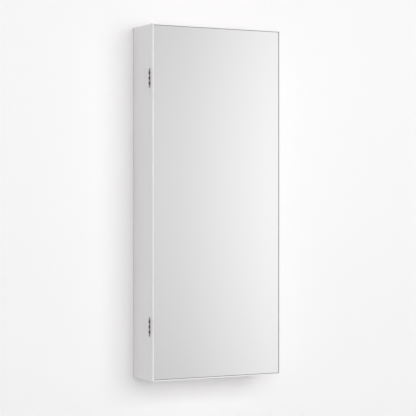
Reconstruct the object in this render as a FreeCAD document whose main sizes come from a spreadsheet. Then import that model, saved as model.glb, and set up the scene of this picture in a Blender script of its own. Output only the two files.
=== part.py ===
import FreeCAD, Part
import os

import Sketcher
from FreeCAD import Rotation, Vector

# A wall-hung jewelry cabinet with a mirror door, in millimetres.
# +X is to the right as seen from the front, the mirror faces -Y, and +Z is up.
# The origin is the centre of the wall bar's rear face, so the wall is the plane y = 0.

SIZES = {
    # outside of the cabinet and its place on the wall
    "overall_width": 408.0,
    "overall_height": 990.0,
    "hang_drop": 66.0,
    "wall_gap": 2.0,
    "case_depth": 106.4,
    "door_seam": 0.6,
    "door_thickness": 18.0,
    # boards of the case
    "side_board": 15.0,
    "end_board": 15.0,
    "edge_round": 0.8,
    "back_recess": 7.0,
    "back_board": 6.0,
    "groove_depth": 5.0,
    "groove_play": 0.5,
    "lining_board": 2.0,
    "dowel_radius": 4.0,
    "dowel_length": 30.0,
    "dowel_in_side": 10.0,
    "dowel_setback": 25.0,
    "bore_play": 0.1,
    "scoop_radius": 50.0,
    "scoop_depth": 13.0,
    "scoop_height": 470.0,
    # hanging bars
    "bar_gauge": 2.5,
    "wall_bar_inset": 54.0,
    "case_bar_inset": 34.0,
    "wall_flange": 28.0,
    "case_flange": 22.0,
    "hook_height": 12.0,
    "hook_play": 0.5,
    "seat_play": 0.2,
    "wall_hole_radius": 2.75,
    "wall_hole_inset": 30.0,
    "bar_screw_radius": 2.0,
    "bar_screw_head_radius": 3.8,
    "bar_screw_head_height": 2.2,
    "bar_screw_length": 22.0,
    "bar_screw_count": 4,
    "bar_screw_inset": 20.0,
    "wall_bumper_radius": 6.0,
    "wall_bumper_height": 30.0,
    # necklaces
    "rail_height": 50.0,
    "rail_thickness": 16.0,
    "rail_round": 3.0,
    "peg_count": 9,
    "peg_side_inset": 37.0,
    "peg_drop": 32.0,
    "peg_spigot_radius": 4.0,
    "peg_spigot_length": 10.0,
    "peg_stem_radius": 3.2,
    "peg_stem_length": 24.0,
    "peg_head_radius": 7.0,
    "peg_head_length": 6.0,
    # shelves
    "shelf_board": 8.0,
    "shelf_setback": 24.0,
    "shelf_play": 0.5,
    "shelf_round": 1.5,
    "lower_shelf_height": 150.0,
    "upper_shelf_height": 430.0,
    "pad_thickness": 1.5,
    "pad_margin": 5.0,
    "pad_front_margin": 13.0,
    "pin_radius": 2.5,
    "pin_in_side": 8.0,
    "pin_out": 7.0,
    "pin_setback": 14.0,
    "gallery_height": 20.0,
    "gallery_inset": 6.0,
    "gallery_rod_radius": 1.5,
    "gallery_rod_inset": 5.0,
    "gallery_post_radius": 2.0,
    "gallery_post_inset": 19.0,
    "gallery_ball_radius": 3.4,
    "gallery_post_foot": 4.0,
    # bins under the lower shelf
    "bin_board": 4.0,
    "bin_height": 55.0,
    "bin_front_height": 40.0,
    # ring tray
    "tray_inset": 39.0,
    "tray_height": 100.0,
    "tray_depth": 26.0,
    "tray_wall": 4.0,
    "tray_drop": 12.0,
    "ring_roll_count": 6,
    "ring_roll_play": 0.4,
    "ring_roll_stem": 9.0,
    "tray_screw_inset": 50.0,
    "tray_screw_radius": 1.5,
    "tray_screw_head_radius": 2.8,
    "tray_screw_head_height": 1.6,
    "tray_screw_length": 10.0,
    # bracelets
    "bracelet_height": 262.0,
    "bracelet_setback": 48.0,
    "bracelet_bar_radius": 7.0,
    "socket_radius": 10.0,
    "socket_depth": 9.0,
    "socket_floor": 3.0,
    "bracelet_bar_gap": 2.4,
    "socket_screw_radius": 1.6,
    "socket_screw_head_radius": 3.0,
    "socket_screw_head_height": 1.8,
    "socket_screw_length": 14.0,
    # magnetic catch
    "catch_height": 570.0,
    "catch_setback": 1.8,
    "catch_width": 14.0,
    "catch_depth": 16.0,
    "catch_block_height": 26.0,
    "catch_ear_height": 46.0,
    "catch_ear_gauge": 3.0,
    "catch_pocket_wall": 1.5,
    "catch_pocket_depth": 13.0,
    "catch_pocket_height": 20.0,
    "magnet_depth": 12.0,
    "pole_gauge": 1.5,
    "pole_air_gap": 0.15,
    "catch_screw_spread": 18.0,
    "catch_screw_radius": 1.5,
    "catch_screw_head_radius": 2.8,
    "catch_screw_head_height": 1.6,
    "catch_screw_length": 12.0,
    "strike_gauge": 1.2,
    "strike_width": 13.0,
    "strike_height": 30.0,
    # butt hinges
    "hinge_inset": 150.0,
    "hinge_length": 51.0,
    "knuckle_count": 7,
    "knuckle_gap": 0.2,
    "barrel_radius": 2.0,
    "barrel_relief": 0.25,
    "pin_outset": 1.6,
    "hinge_pin_radius": 0.95,
    "hinge_pin_bore": 1.0,
    "pin_cap_radius": 1.7,
    "pin_cap_height": 1.2,
    "leaf_gauge": 1.2,
    "leaf_width": 14.0,
    "leaf_play": 0.1,
    "leaf_screw_spread": 19.0,
    "leaf_screw_inset": 9.5,
    "leaf_screw_stagger": 3.0,
    "leaf_screw_radius": 1.3,
    "leaf_screw_head_radius": 2.4,
    "case_leaf_screw_length": 13.0,
    "door_leaf_screw_length": 9.0,
    # door
    "rim_width": 3.1,
    "rim_round": 0.5,
    "mirror_recess": 1.8,
    "mirror_margin": 1.0,
    "mirror_glass": 4.0,
    "mirror_film": 0.3,
    "mirror_tape": 0.9,
    "mirror_tape_width": 14.0,
    "seal_recess": 0.2,
    "door_lining_board": 2.0,
    "door_lining_margin": 34.0,
    "door_bumper_radius": 4.0,
    "door_bumper_thickness": 1.5,
    "door_bumper_recess": 1.0,
    "door_bumper_inset": 20.0,
    # earring rack
    "rack_height": 690.0,
    "rack_inset": 39.0,
    "strip_count": 5,
    "strip_pitch": 62.0,
    "strip_height": 12.0,
    "strip_gauge": 2.0,
    "strip_standoff": 12.0,
    "strip_in_bracket": 4.0,
    "strip_play": 0.1,
    "earring_hole_count": 24,
    "earring_hole_inset": 9.5,
    "earring_hole_radius": 1.1,
    "bracket_width": 8.0,
    "bracket_depth": 18.0,
    "bracket_end": 10.0,
    "rack_screw_inset": 5.0,
    "rack_screw_radius": 1.5,
    "rack_screw_head_radius": 2.4,
    "rack_screw_head_height": 1.6,
    "rack_screw_length": 15.0,
    "rack_screw_seat": 6.0,
    # cushion for stud earrings
    "cushion_height": 190.0,
    "cushion_side_inset": 39.0,
    "cushion_tall": 130.0,
    "cushion_board": 3.0,
    "cushion_pad": 9.0,
    "cushion_inset": 2.0,
    "cushion_round": 3.0,
}

doc = FreeCAD.newDocument("JewelryMirrorCabinet")
sheet = doc.addObject("Spreadsheet::Sheet", "Sizes")
for row, (alias, number) in enumerate(SIZES.items(), start=1):
    sheet.set(f"A{row}", alias.replace("_", " "))
    sheet.set(f"B{row}", str(number))
    sheet.setAlias(f"B{row}", alias)
doc.recompute()

pieces = []


class Size:
    """A length worked out from the sheet: its expression for the document, and its value now."""

    def __init__(self, text, value):
        self.text = text
        self.value = value

    def _join(self, sign, other, value):
        other_text = other.text if isinstance(other, Size) else str(other)
        return Size(f"({self.text} {sign} {other_text})", value)

    def __add__(self, other):
        return self._join("+", other, self.value + number_of(other))

    def __sub__(self, other):
        return self._join("-", other, self.value - number_of(other))

    def __mul__(self, other):
        return self._join("*", other, self.value * number_of(other))

    def __truediv__(self, other):
        return self._join("/", other, self.value / number_of(other))

    def __neg__(self):
        return Size(f"(-1 * {self.text})", -self.value)


def number_of(length):
    return length.value if isinstance(length, Size) else length


def size(alias):
    return Size(f"Sizes.{alias}", SIZES[alias])


ZERO = Size("0", 0.0)

# A cylinder or cone stands on its base along +Z before it is turned to lie along another axis.
TURNS = {
    "+X": Rotation(Vector(0, 1, 0), 90),
    "-X": Rotation(Vector(0, 1, 0), -90),
    "+Y": Rotation(Vector(1, 0, 0), -90),
    "-Y": Rotation(Vector(1, 0, 0), 90),
    "+Z": Rotation(),
    "-Z": Rotation(Vector(1, 0, 0), 180),
}


def bind(thing, name, length):
    thing.setExpression(name, length.text)


def bind_place(thing, place, along="+Z"):
    thing.Placement.Rotation = TURNS[along]
    for axis, length in zip("xyz", place):
        bind(thing, f"Placement.Base.{axis}", length)


def origin_feature(body, role):
    return next(feature for feature in body.Origin.OriginFeatures if feature.Role == role)


def keep(thing, name):
    thing.Label = name
    pieces.append(thing)
    return thing


class Piece:
    """A body placed at its own corner. Its features are given in the cabinet's frame."""

    def __init__(self, name, at):
        self.body = keep(doc.addObject("PartDesign::Body", name), name)
        self.at = at
        bind_place(self.body, at)

    def _feature(self, kind, place, along="+Z"):
        feature = self.body.newObject(kind, kind.split("::")[1])
        bind_place(feature, [here - start for here, start in zip(place, self.at)], along)
        self.body.Tip = feature
        return feature

    def box(self, low, high, cut=False):
        feature = self._feature("PartDesign::SubtractiveBox" if cut else "PartDesign::AdditiveBox", low)
        for name, start, end in zip(("Length", "Width", "Height"), low, high):
            bind(feature, name, end - start)
        return feature

    def rod(self, place, along, radius, length, cut=False):
        kind = "PartDesign::SubtractiveCylinder" if cut else "PartDesign::AdditiveCylinder"
        feature = self._feature(kind, place, along)
        bind(feature, "Radius", radius)
        bind(feature, "Height", length)
        return feature

    def sink(self, place, along, wide, narrow, depth):
        """A countersink whose wide end is at place."""
        feature = self._feature("PartDesign::SubtractiveCone", place, along)
        bind(feature, "Radius1", wide)
        bind(feature, "Radius2", narrow)
        bind(feature, "Height", depth)
        return feature

    def row(self, feature, axis, span, count, axis2=None, span2=None, count2=None):
        pattern = self.body.newObject("PartDesign::LinearPattern", "Row")
        pattern.Originals = [feature]
        pattern.Direction = (origin_feature(self.body, f"{axis}_Axis"), [""])
        bind(pattern, "Length", span)
        bind(pattern, "Occurrences", count)
        if axis2:
            pattern.Direction2 = (origin_feature(self.body, f"{axis2}_Axis"), [""])
            bind(pattern, "Length2", span2)
            bind(pattern, "Occurrences2", count2)
        self.body.Tip = pattern
        return pattern

    def outline(self, plane, points):
        """A closed sketch of straight lines through points in the piece's own frame."""
        sketch = self.body.newObject("Sketcher::SketchObject", "Outline")
        sketch.AttachmentSupport = [(origin_feature(self.body, plane), "")]
        sketch.MapMode = "FlatFace"
        corners = [Vector(across.value, up.value, 0) for across, up in points]
        for index, corner in enumerate(corners):
            following = corners[(index + 1) % len(corners)]
            sketch.addGeometry(Part.LineSegment(corner, following), False)
        for index in range(len(points)):
            following = (index + 1) % len(points)
            sketch.addConstraint(Sketcher.Constraint("Coincident", index, 2, following, 1))
        for index, (across, up) in enumerate(points):
            self._tie(sketch, index, "DistanceX", -2, across)
            self._tie(sketch, index, "DistanceY", -1, up)
        return sketch

    def _tie(self, sketch, index, kind, axis, length):
        if abs(length.value) < 1e-9:
            sketch.addConstraint(Sketcher.Constraint("PointOnObject", index, 1, axis))
            return
        constraint = sketch.addConstraint(Sketcher.Constraint(kind, -1, 1, index, 1, length.value))
        name = f"corner_{index}_{kind[-1].lower()}"
        sketch.renameConstraint(constraint, name)
        bind(sketch, f"Constraints.{name}", length)

    def pad(self, plane, points, length):
        pad = self.body.newObject("PartDesign::Pad", "Pad")
        pad.Profile = self.outline(plane, points)
        bind(pad, "Length", length)
        self.body.Tip = pad
        return pad

    def turned(self, plane, axis, points):
        """A solid turned about the sketch's own horizontal or vertical axis."""
        turned = self.body.newObject("PartDesign::Revolution", "Turned")
        sketch = self.outline(plane, points)
        turned.Profile = sketch
        turned.ReferenceAxis = (sketch, [axis])
        turned.Angle = 360
        self.body.Tip = turned
        return turned

    def soften(self, radius, chosen):
        """Round the edges whose midpoint, in the cabinet's frame, passes the test."""
        doc.recompute()
        base = self.body.Tip
        shift = Vector(*[start.value for start in self.at])
        names = []
        for index, edge in enumerate(base.Shape.Edges, start=1):
            middle = edge.valueAt((edge.FirstParameter + edge.LastParameter) / 2) + shift
            if chosen(middle):
                names.append(f"Edge{index}")
        fillet = self.body.newObject("PartDesign::Fillet", "Softened")
        fillet.Base = (base, names)
        bind(fillet, "Radius", radius)
        self.body.Tip = fillet
        return fillet


def near(number, length):
    return abs(number - length.value) < 0.01


def loose_rod(place, along, radius, length):
    rod = doc.addObject("Part::Cylinder", "Rod")
    bind(rod, "Radius", radius)
    bind(rod, "Height", length)
    bind_place(rod, place, along)
    return rod


def loose_cone(place, along, wide, narrow, length):
    cone = doc.addObject("Part::Cone", "Cone")
    bind(cone, "Radius1", wide)
    bind(cone, "Radius2", narrow)
    bind(cone, "Height", length)
    bind_place(cone, place, along)
    return cone


def loose_box(low, high):
    box = doc.addObject("Part::Box", "Block")
    for name, start, end in zip(("Length", "Width", "Height"), low, high):
        bind(box, name, end - start)
    bind_place(box, low)
    return box


def fused(parts):
    whole = doc.addObject("Part::MultiFuse", "Whole")
    whole.Shapes = parts
    return whole


def group(name, parts):
    """Alike solids that share one node."""
    whole = doc.addObject("Part::Compound", name)
    whole.Links = parts
    return keep(whole, name)


def opposite(along):
    return ("-" if along[0] == "+" else "+") + along[1]


def pan_screw(seat, along, radius, length, head_radius, head_height):
    """A screw whose head stands on seat, and whose shank runs from there the way of along."""
    shank = loose_rod(seat, along, radius, length)
    head = loose_rod(seat, opposite(along), head_radius, head_height)
    return fused([shank, head])


def flush_screw(face, along, radius, length, head_radius, head_height):
    """A countersunk screw whose head is flush with face."""
    return fused([
        loose_rod(face, along, radius, length),
        loose_cone(face, along, head_radius, radius, head_height),
    ])


# ---- planes that the pieces share ----

play = size("bore_play")
left = -(size("overall_width") / 2)
right = size("overall_width") / 2
top = size("hang_drop")
bottom = top - size("overall_height")
case_rear = -size("wall_gap")
case_front = case_rear - size("case_depth")
door_rear = case_front - size("door_seam")
door_front = door_rear - size("door_thickness")

inner_left = left + size("side_board")
inner_right = right - size("side_board")
inner_top = top - size("end_board")
inner_bottom = bottom + size("end_board")
back_rear = case_rear - size("back_recess")
back_front = back_rear - size("back_board")
lining_front = back_front - size("lining_board")
shelf_front = case_front + size("shelf_setback")

# ---- places of what is fixed through more than one piece ----

dowel_rows = [case_front + size("dowel_setback"), back_front - size("dowel_radius") * 2]
end_centres = {"top": top - size("end_board") / 2, "bottom": bottom + size("end_board") / 2}

wall_flange_top = size("wall_flange") / 2
wall_lip_top = wall_flange_top + size("hook_height")
case_web_under = wall_lip_top + size("seat_play")
case_flange_top = case_web_under + size("case_flange")
bar_screw_z = (case_web_under + size("bar_gauge") + case_flange_top) / 2
wall_bar_half = right - size("wall_bar_inset")
case_bar_half = right - size("case_bar_inset")
wall_hole_x = wall_bar_half - size("wall_hole_inset")
bar_screw_start = -(case_bar_half - size("bar_screw_inset"))
bar_screw_span = -(bar_screw_start * 2)
bar_screw_pitch = bar_screw_span / (size("bar_screw_count") - 1)

peg_z = inner_top - size("peg_drop")
peg_start = inner_left + size("peg_side_inset")
peg_span = -(peg_start * 2)
rail_front = lining_front - size("rail_thickness")

shelf_floors = {
    "lower": inner_bottom + size("lower_shelf_height"),
    "upper": inner_bottom + size("upper_shelf_height"),
}
pin_rows = [shelf_front + size("pin_setback"), lining_front - size("pin_setback")]
post_y = shelf_front + size("gallery_inset")
post_x = inner_right - size("gallery_post_inset")

tray_top = shelf_floors["upper"] - size("tray_drop")
tray_bottom = tray_top - size("tray_height")
tray_floor = lining_front - size("tray_wall")
tray_half = inner_right - size("tray_inset")
tray_screw_x = tray_half - size("tray_screw_inset")
tray_screw_z = (tray_top + tray_bottom) / 2

bracelet_y = case_front + size("bracelet_setback")
bracelet_z = inner_bottom + size("bracelet_height")

catch_z = inner_bottom + size("catch_height")
catch_face = case_front + size("catch_setback")
catch_inner = inner_right - size("catch_width")
catch_screw_y = catch_face + size("catch_depth") / 2

pin_x = left - size("pin_outset")
pin_y = (case_front + door_rear) / 2
hinge_centres = {"upper": top - size("hinge_inset"), "lower": bottom + size("hinge_inset")}
knuckle = (size("hinge_length") - size("knuckle_gap") * (size("knuckle_count") - 1)) / size("knuckle_count")
knuckle_pitch = knuckle + size("knuckle_gap")
leaf_edge = left + size("leaf_width")
leaf_screws = [
    (left + size("leaf_screw_inset"), -size("leaf_screw_spread")),
    (left + size("leaf_screw_inset") - size("leaf_screw_stagger"), ZERO),
    (left + size("leaf_screw_inset"), size("leaf_screw_spread")),
]

glass_front = door_front + size("mirror_recess")
glass_rear = glass_front + size("mirror_glass")
film_rear = glass_rear + size("mirror_film")
core_front = film_rear + size("mirror_tape")
door_lining_face = door_rear + size("door_lining_board")

rack_z = inner_bottom + size("rack_height")
strip_span = size("strip_pitch") * (size("strip_count") - 1)
rack_low = rack_z - strip_span / 2 - size("strip_height") / 2 - size("bracket_end")
rack_high = rack_z + strip_span / 2 + size("strip_height") / 2 + size("bracket_end")
strip_low = rack_z - strip_span / 2 - size("strip_height") / 2
strip_front = door_lining_face + size("strip_standoff")
strip_rear = strip_front + size("strip_gauge")
rack_half = inner_right - size("rack_inset")
bracket_inner = rack_half - size("bracket_width")
rack_screw_x = rack_half - size("bracket_width") / 2
rack_screws = [
    (sign, height)
    for sign in (-1, 1)
    for height in (rack_low + size("rack_screw_inset"), rack_high - size("rack_screw_inset"))
]


# ---- hanging bars ----

def wall_bar():
    """A Z-shaped bar: its flange is screwed to the wall and its lip stands up in front of it."""
    gauge = size("bar_gauge")
    lip_rear = -(gauge + size("hook_play") * 2)
    lip_front = lip_rear - gauge
    foot = -wall_flange_top
    piece = Piece("wall_z_bar", (-wall_bar_half, ZERO, ZERO))
    piece.pad("YZ_Plane", [
        (ZERO, foot),
        (ZERO, wall_flange_top),
        (lip_rear, wall_flange_top),
        (lip_rear, wall_lip_top),
        (lip_front, wall_lip_top),
        (lip_front, wall_flange_top - gauge),
        (-gauge, wall_flange_top - gauge),
        (-gauge, foot),
    ], wall_bar_half * 2)
    for side in (-1, 1):
        piece.rod((wall_hole_x * side, ZERO, ZERO), "-Y", size("wall_hole_radius"), gauge, cut=True)


def case_bar():
    """The matching bar on the case, whose lip hangs behind the wall bar's."""
    gauge = size("bar_gauge")
    lip_rear = -size("hook_play")
    lip_front = lip_rear - gauge
    flange_front = back_rear
    flange_rear = back_rear + gauge
    lip_foot = wall_flange_top + size("hook_play")
    piece = Piece("case_z_bar", (-case_bar_half, ZERO, ZERO))
    piece.pad("YZ_Plane", [
        (lip_rear, lip_foot),
        (lip_rear, case_web_under + gauge),
        (flange_rear, case_web_under + gauge),
        (flange_rear, case_flange_top),
        (flange_front, case_flange_top),
        (flange_front, case_web_under),
        (lip_front, case_web_under),
        (lip_front, lip_foot),
    ], case_bar_half * 2)
    hole = piece.rod((bar_screw_start, flange_rear, bar_screw_z), "-Y",
                     size("bar_screw_radius") + play, gauge, cut=True)
    piece.row(hole, "X", bar_screw_span, size("bar_screw_count"))
    group("z_bar_screws", [
        pan_screw((bar_screw_start + bar_screw_pitch * index, flange_rear, bar_screw_z), "-Y",
                  size("bar_screw_radius"), size("bar_screw_length"),
                  size("bar_screw_head_radius"), size("bar_screw_head_height"))
        for index in range(SIZES["bar_screw_count"])
    ])


def wall_bumpers():
    """Two discs near the bottom that keep the case parallel to the wall."""
    group("wall_bumpers", [
        loose_rod(((right - size("side_board") / 2) * side, case_rear, bottom + size("wall_bumper_height")),
                  "+Y", size("wall_bumper_radius"), size("wall_gap"))
        for side in (-1, 1)
    ])


# ---- case ----

def side_board(name, outer, inner, sign):
    """A side from top to bottom. Sign is -1 for the left one."""
    low_x, high_x = (outer, inner) if sign < 0 else (inner, outer)
    piece = Piece(name, (low_x, case_front, bottom))
    piece.box((low_x, case_front, bottom), (high_x, case_rear, top))
    piece.soften(size("edge_round"), lambda middle: near(middle.x, outer) and not near(middle.y, case_front))
    groove_bed = inner + size("groove_depth") * sign + size("groove_play") * sign
    groove_low, groove_high = (groove_bed, inner) if sign < 0 else (inner, groove_bed)
    reach = size("groove_depth") + size("groove_play")
    piece.box((groove_low, back_front, inner_bottom - reach), (groove_high, back_rear, inner_top + reach),
              cut=True)
    outward = "-X" if sign < 0 else "+X"
    for row_y in dowel_rows:
        for centre in end_centres.values():
            piece.rod((inner, row_y, centre), outward, size("dowel_radius") + play,
                      size("dowel_in_side") + play, cut=True)
    for floor in shelf_floors.values():
        for row_y in pin_rows:
            piece.rod((inner, row_y, floor - size("pin_radius") - play), outward,
                      size("pin_radius") + play, size("pin_in_side") + play, cut=True)
    piece.rod((inner, bracelet_y, bracelet_z), outward, size("socket_screw_radius") + play,
              size("socket_screw_length") - size("socket_floor") + play, cut=True)
    return piece


def hinge_seats(piece, face, into, screw_length):
    """Mortises for both hinges in a face, the relief round their barrels, and the screw holes."""
    into_sign = 1 if into == "+Y" else -1
    depth = size("leaf_gauge") * into_sign
    low_y, high_y = (face, face + depth) if into_sign > 0 else (face + depth, face)
    half_leaf = size("hinge_length") / 2 + size("leaf_play")
    half_barrel = size("hinge_length") / 2 + size("pin_cap_height") + size("knuckle_gap")
    for centre in hinge_centres.values():
        piece.box((left, low_y, centre - half_leaf), (leaf_edge + size("leaf_play"), high_y, centre + half_leaf),
                  cut=True)
        piece.rod((pin_x, pin_y, centre - half_barrel), "+Z", size("barrel_radius") + size("barrel_relief"),
                  half_barrel * 2, cut=True)
        for across, rise in leaf_screws:
            piece.rod((across, face, centre + rise), into, size("leaf_screw_radius") + play,
                      screw_length + play, cut=True)


def case_sides():
    hinge_side = side_board("case_side_left", left, inner_left, -1)
    hinge_seats(hinge_side, case_front, "+Y", size("case_leaf_screw_length"))
    latch_side = side_board("case_side_right", right, inner_right, 1)
    scoop_axis = case_front - size("scoop_radius") + size("scoop_depth")
    latch_side.rod((inner_right, scoop_axis, inner_bottom + size("scoop_height")), "+X",
                   size("scoop_radius"), size("side_board"), cut=True)
    for rise in (-size("catch_screw_spread"), size("catch_screw_spread")):
        latch_side.rod((inner_right, catch_screw_y, catch_z + rise), "+X", size("catch_screw_radius") + play,
                       size("catch_screw_length") - size("catch_ear_gauge") + play, cut=True)


def end_board(name, low_z, high_z, inner_face, sign, centre):
    """The top or bottom board, between the sides. Sign is +1 for the top one."""
    piece = Piece(name, (inner_left, case_front, low_z))
    piece.box((inner_left, case_front, low_z), (inner_right, case_rear, high_z))
    bed = inner_face + (size("groove_depth") + size("groove_play")) * sign
    groove_low, groove_high = (inner_face, bed) if sign > 0 else (bed, inner_face)
    piece.box((inner_left, back_front, groove_low), (inner_right, back_rear, groove_high), cut=True)
    in_end = size("dowel_length") - size("dowel_in_side") + play
    for row_y in dowel_rows:
        piece.rod((inner_left, row_y, centre), "+X", size("dowel_radius") + play, in_end, cut=True)
        piece.rod((inner_right, row_y, centre), "-X", size("dowel_radius") + play, in_end, cut=True)


def corner_dowels():
    group("corner_dowels", [
        loose_rod((start, row_y, centre), "+X", size("dowel_radius"), size("dowel_length"))
        for start in (inner_left - size("dowel_in_side"),
                      inner_right + size("dowel_in_side") - size("dowel_length"))
        for row_y in dowel_rows
        for centre in end_centres.values()
    ])


def back():
    """The back board in its grooves, and the velvet-covered board in front of it."""
    reach = size("groove_depth")
    piece = Piece("case_back_board", (inner_left - reach, back_front, inner_bottom - reach))
    piece.box((inner_left - reach, back_front, inner_bottom - reach),
              (inner_right + reach, back_rear, inner_top + reach))
    lining = Piece("back_lining", (inner_left, lining_front, inner_bottom))
    lining.box((inner_left, lining_front, inner_bottom), (inner_right, back_front, inner_top))
    for board, face in ((piece, back_rear), (lining, back_front)):
        hole = board.rod((bar_screw_start, face, bar_screw_z), "-Y", size("bar_screw_radius") + play,
                         size("back_board"), cut=True)
        board.row(hole, "X", bar_screw_span, size("bar_screw_count"))
    for side in (-1, 1):
        hole_x = tray_screw_x * side
        screw_reach = size("tray_screw_length") - size("tray_wall") - size("lining_board") + play
        lining.rod((hole_x, lining_front, tray_screw_z), "+Y", size("tray_screw_radius") + play,
                   size("lining_board"), cut=True)
        piece.rod((hole_x, back_front, tray_screw_z), "+Y", size("tray_screw_radius") + play,
                  screw_reach, cut=True)


# ---- necklaces ----

def necklace_rail():
    piece = Piece("necklace_rail", (inner_left, rail_front, inner_top - size("rail_height")))
    piece.box((inner_left, rail_front, inner_top - size("rail_height")), (inner_right, lining_front, inner_top))
    rail_foot = inner_top - size("rail_height")
    piece.soften(size("rail_round"), lambda middle: near(middle.z, rail_foot) and near(middle.y, rail_front))
    bore = piece.rod((peg_start, rail_front, peg_z), "+Y", size("peg_spigot_radius") + play,
                     size("peg_spigot_length") + play, cut=True)
    piece.row(bore, "X", peg_span, size("peg_count"))
    screw_reach = (size("bar_screw_length") - size("bar_gauge") - size("back_board")
                   - size("lining_board") + play)
    hole = piece.rod((bar_screw_start, lining_front, bar_screw_z), "-Y", size("bar_screw_radius") + play,
                     screw_reach, cut=True)
    piece.row(hole, "X", bar_screw_span, size("bar_screw_count"))


def necklace_pegs():
    """Turned pegs: a spigot in the rail, a stem and a mushroom head."""
    stem_end = -size("peg_stem_length")
    head_end = stem_end - size("peg_head_length")
    head_rim = stem_end - size("peg_head_length") * 0.4
    piece = Piece("necklace_pegs", (peg_start, rail_front, peg_z))
    peg = piece.turned("XY_Plane", "V_Axis", [
        (ZERO, size("peg_spigot_length")),
        (size("peg_spigot_radius"), size("peg_spigot_length")),
        (size("peg_spigot_radius"), ZERO),
        (size("peg_stem_radius"), ZERO),
        (size("peg_stem_radius"), stem_end),
        (size("peg_head_radius"), head_rim),
        (size("peg_head_radius") * 0.8, head_end + size("peg_head_length") * 0.15),
        (size("peg_head_radius") * 0.4, head_end),
        (ZERO, head_end),
    ])
    piece.row(peg, "X", peg_span, size("peg_count"))


# ---- shelves ----

def shelf(level):
    """A shelf on four pins, with holes for the feet of its gallery posts."""
    floor = shelf_floors[level]
    low_x = inner_left + size("shelf_play")
    high_x = inner_right - size("shelf_play")
    face = floor + size("shelf_board")
    piece = Piece(f"shelf_{level}", (low_x, shelf_front, floor))
    piece.box((low_x, shelf_front, floor), (high_x, lining_front, face))
    piece.soften(size("shelf_round"), lambda middle: near(middle.y, shelf_front)
                 and (near(middle.z, floor) or near(middle.z, face)))
    for step in (-1, 0, 1):
        piece.rod((post_x * step, post_y, face), "-Z",
                  size("gallery_post_radius") + play, size("gallery_post_foot") + play, cut=True)


def shelf_pads():
    group("shelf_pads", [
        loose_box((inner_left + size("pad_margin"), shelf_front + size("pad_front_margin"),
                   floor + size("shelf_board")),
                  (inner_right - size("pad_margin"), lining_front - size("pad_margin"),
                   floor + size("shelf_board") + size("pad_thickness")))
        for floor in shelf_floors.values()
    ])


def shelf_pins():
    length = size("pin_in_side") + size("pin_out")
    group("shelf_pins", [
        loose_rod((start, row_y, floor - size("pin_radius") - play), "+X", size("pin_radius"), length)
        for start in (inner_left - size("pin_in_side"), inner_right - size("pin_out"))
        for row_y in pin_rows
        for floor in shelf_floors.values()
    ])


def gallery():
    """Low brass rails along the front of both shelves: one rod through three turned posts each."""
    posts = []
    rods = []
    for floor in shelf_floors.values():
        face = floor + size("shelf_board")
        rod_z = face + size("gallery_height")
        rod_start = inner_left + size("gallery_rod_inset")
        rods.append(loose_rod((rod_start, post_y, rod_z), "+X", size("gallery_rod_radius"),
                              -(rod_start * 2)))
        for step in (-1, 0, 1):
            here_x = post_x * step
            stem = loose_rod((here_x, post_y, face - size("gallery_post_foot")), "+Z",
                             size("gallery_post_radius"), size("gallery_height") + size("gallery_post_foot"))
            ball = doc.addObject("Part::Sphere", "Ball")
            bind(ball, "Radius", size("gallery_ball_radius"))
            bind_place(ball, (here_x, post_y, rod_z))
            post = doc.addObject("Part::Cut", "Post")
            post.Base = fused([stem, ball])
            post.Tool = loose_rod((here_x - size("gallery_ball_radius"), post_y, rod_z), "+X",
                                  size("gallery_rod_radius") + play, size("gallery_ball_radius") * 2)
            posts.append(post)
    group("gallery_rods", rods)
    group("gallery_posts", posts)


# ---- bins at the bottom ----

def bins():
    third = (inner_right - inner_left) / 6
    half_board = size("bin_board") / 2
    bin_front_rear = shelf_front + size("bin_board")
    group("bin_dividers", [
        loose_box((third * side - half_board, bin_front_rear, inner_bottom),
                  (third * side + half_board, lining_front, inner_bottom + size("bin_height")))
        for side in (-1, 1)
    ])
    front = Piece("bin_front", (inner_left, shelf_front, inner_bottom))
    front.box((inner_left, shelf_front, inner_bottom),
              (inner_right, bin_front_rear, inner_bottom + size("bin_front_height")))
    front_top = inner_bottom + size("bin_front_height")
    front.soften(size("shelf_round"), lambda middle: near(middle.z, front_top)
                 and (near(middle.y, shelf_front) or near(middle.y, bin_front_rear)))
    walls = [(inner_left, -third - half_board), (-third + half_board, third - half_board),
             (third + half_board, inner_right)]
    group("bin_pads", [
        loose_box((low_x + size("shelf_play"), bin_front_rear + size("shelf_play"), inner_bottom),
                  (high_x - size("shelf_play"), lining_front - size("shelf_play"),
                   inner_bottom + size("pad_thickness")))
        for low_x, high_x in walls
    ])


# ---- ring tray ----

def ring_tray():
    """An open-fronted tray on the back, which holds the ring rolls."""
    half = tray_half
    wall = size("tray_wall")
    mouth = lining_front - size("tray_depth")
    piece = Piece("ring_tray", (-half, mouth, tray_bottom))
    piece.box((-half, mouth, tray_bottom), (half, lining_front, tray_top))
    piece.soften(size("edge_round"), lambda middle: near(middle.y, mouth))
    piece.box((-half + wall, mouth, tray_bottom + wall), (half - wall, tray_floor, tray_top - wall), cut=True)
    for side in (-1, 1):
        place = (tray_screw_x * side, tray_floor, tray_screw_z)
        piece.rod(place, "+Y", size("tray_screw_radius") + play, wall, cut=True)
        piece.sink(place, "+Y", size("tray_screw_head_radius") + play, size("tray_screw_radius") + play,
                   size("tray_screw_head_height"))
    group("ring_tray_screws", [
        flush_screw((tray_screw_x * side, tray_floor, tray_screw_z), "+Y",
                    size("tray_screw_radius"), size("tray_screw_length"),
                    size("tray_screw_head_radius"), size("tray_screw_head_height"))
        for side in (-1, 1)
    ])


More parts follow.
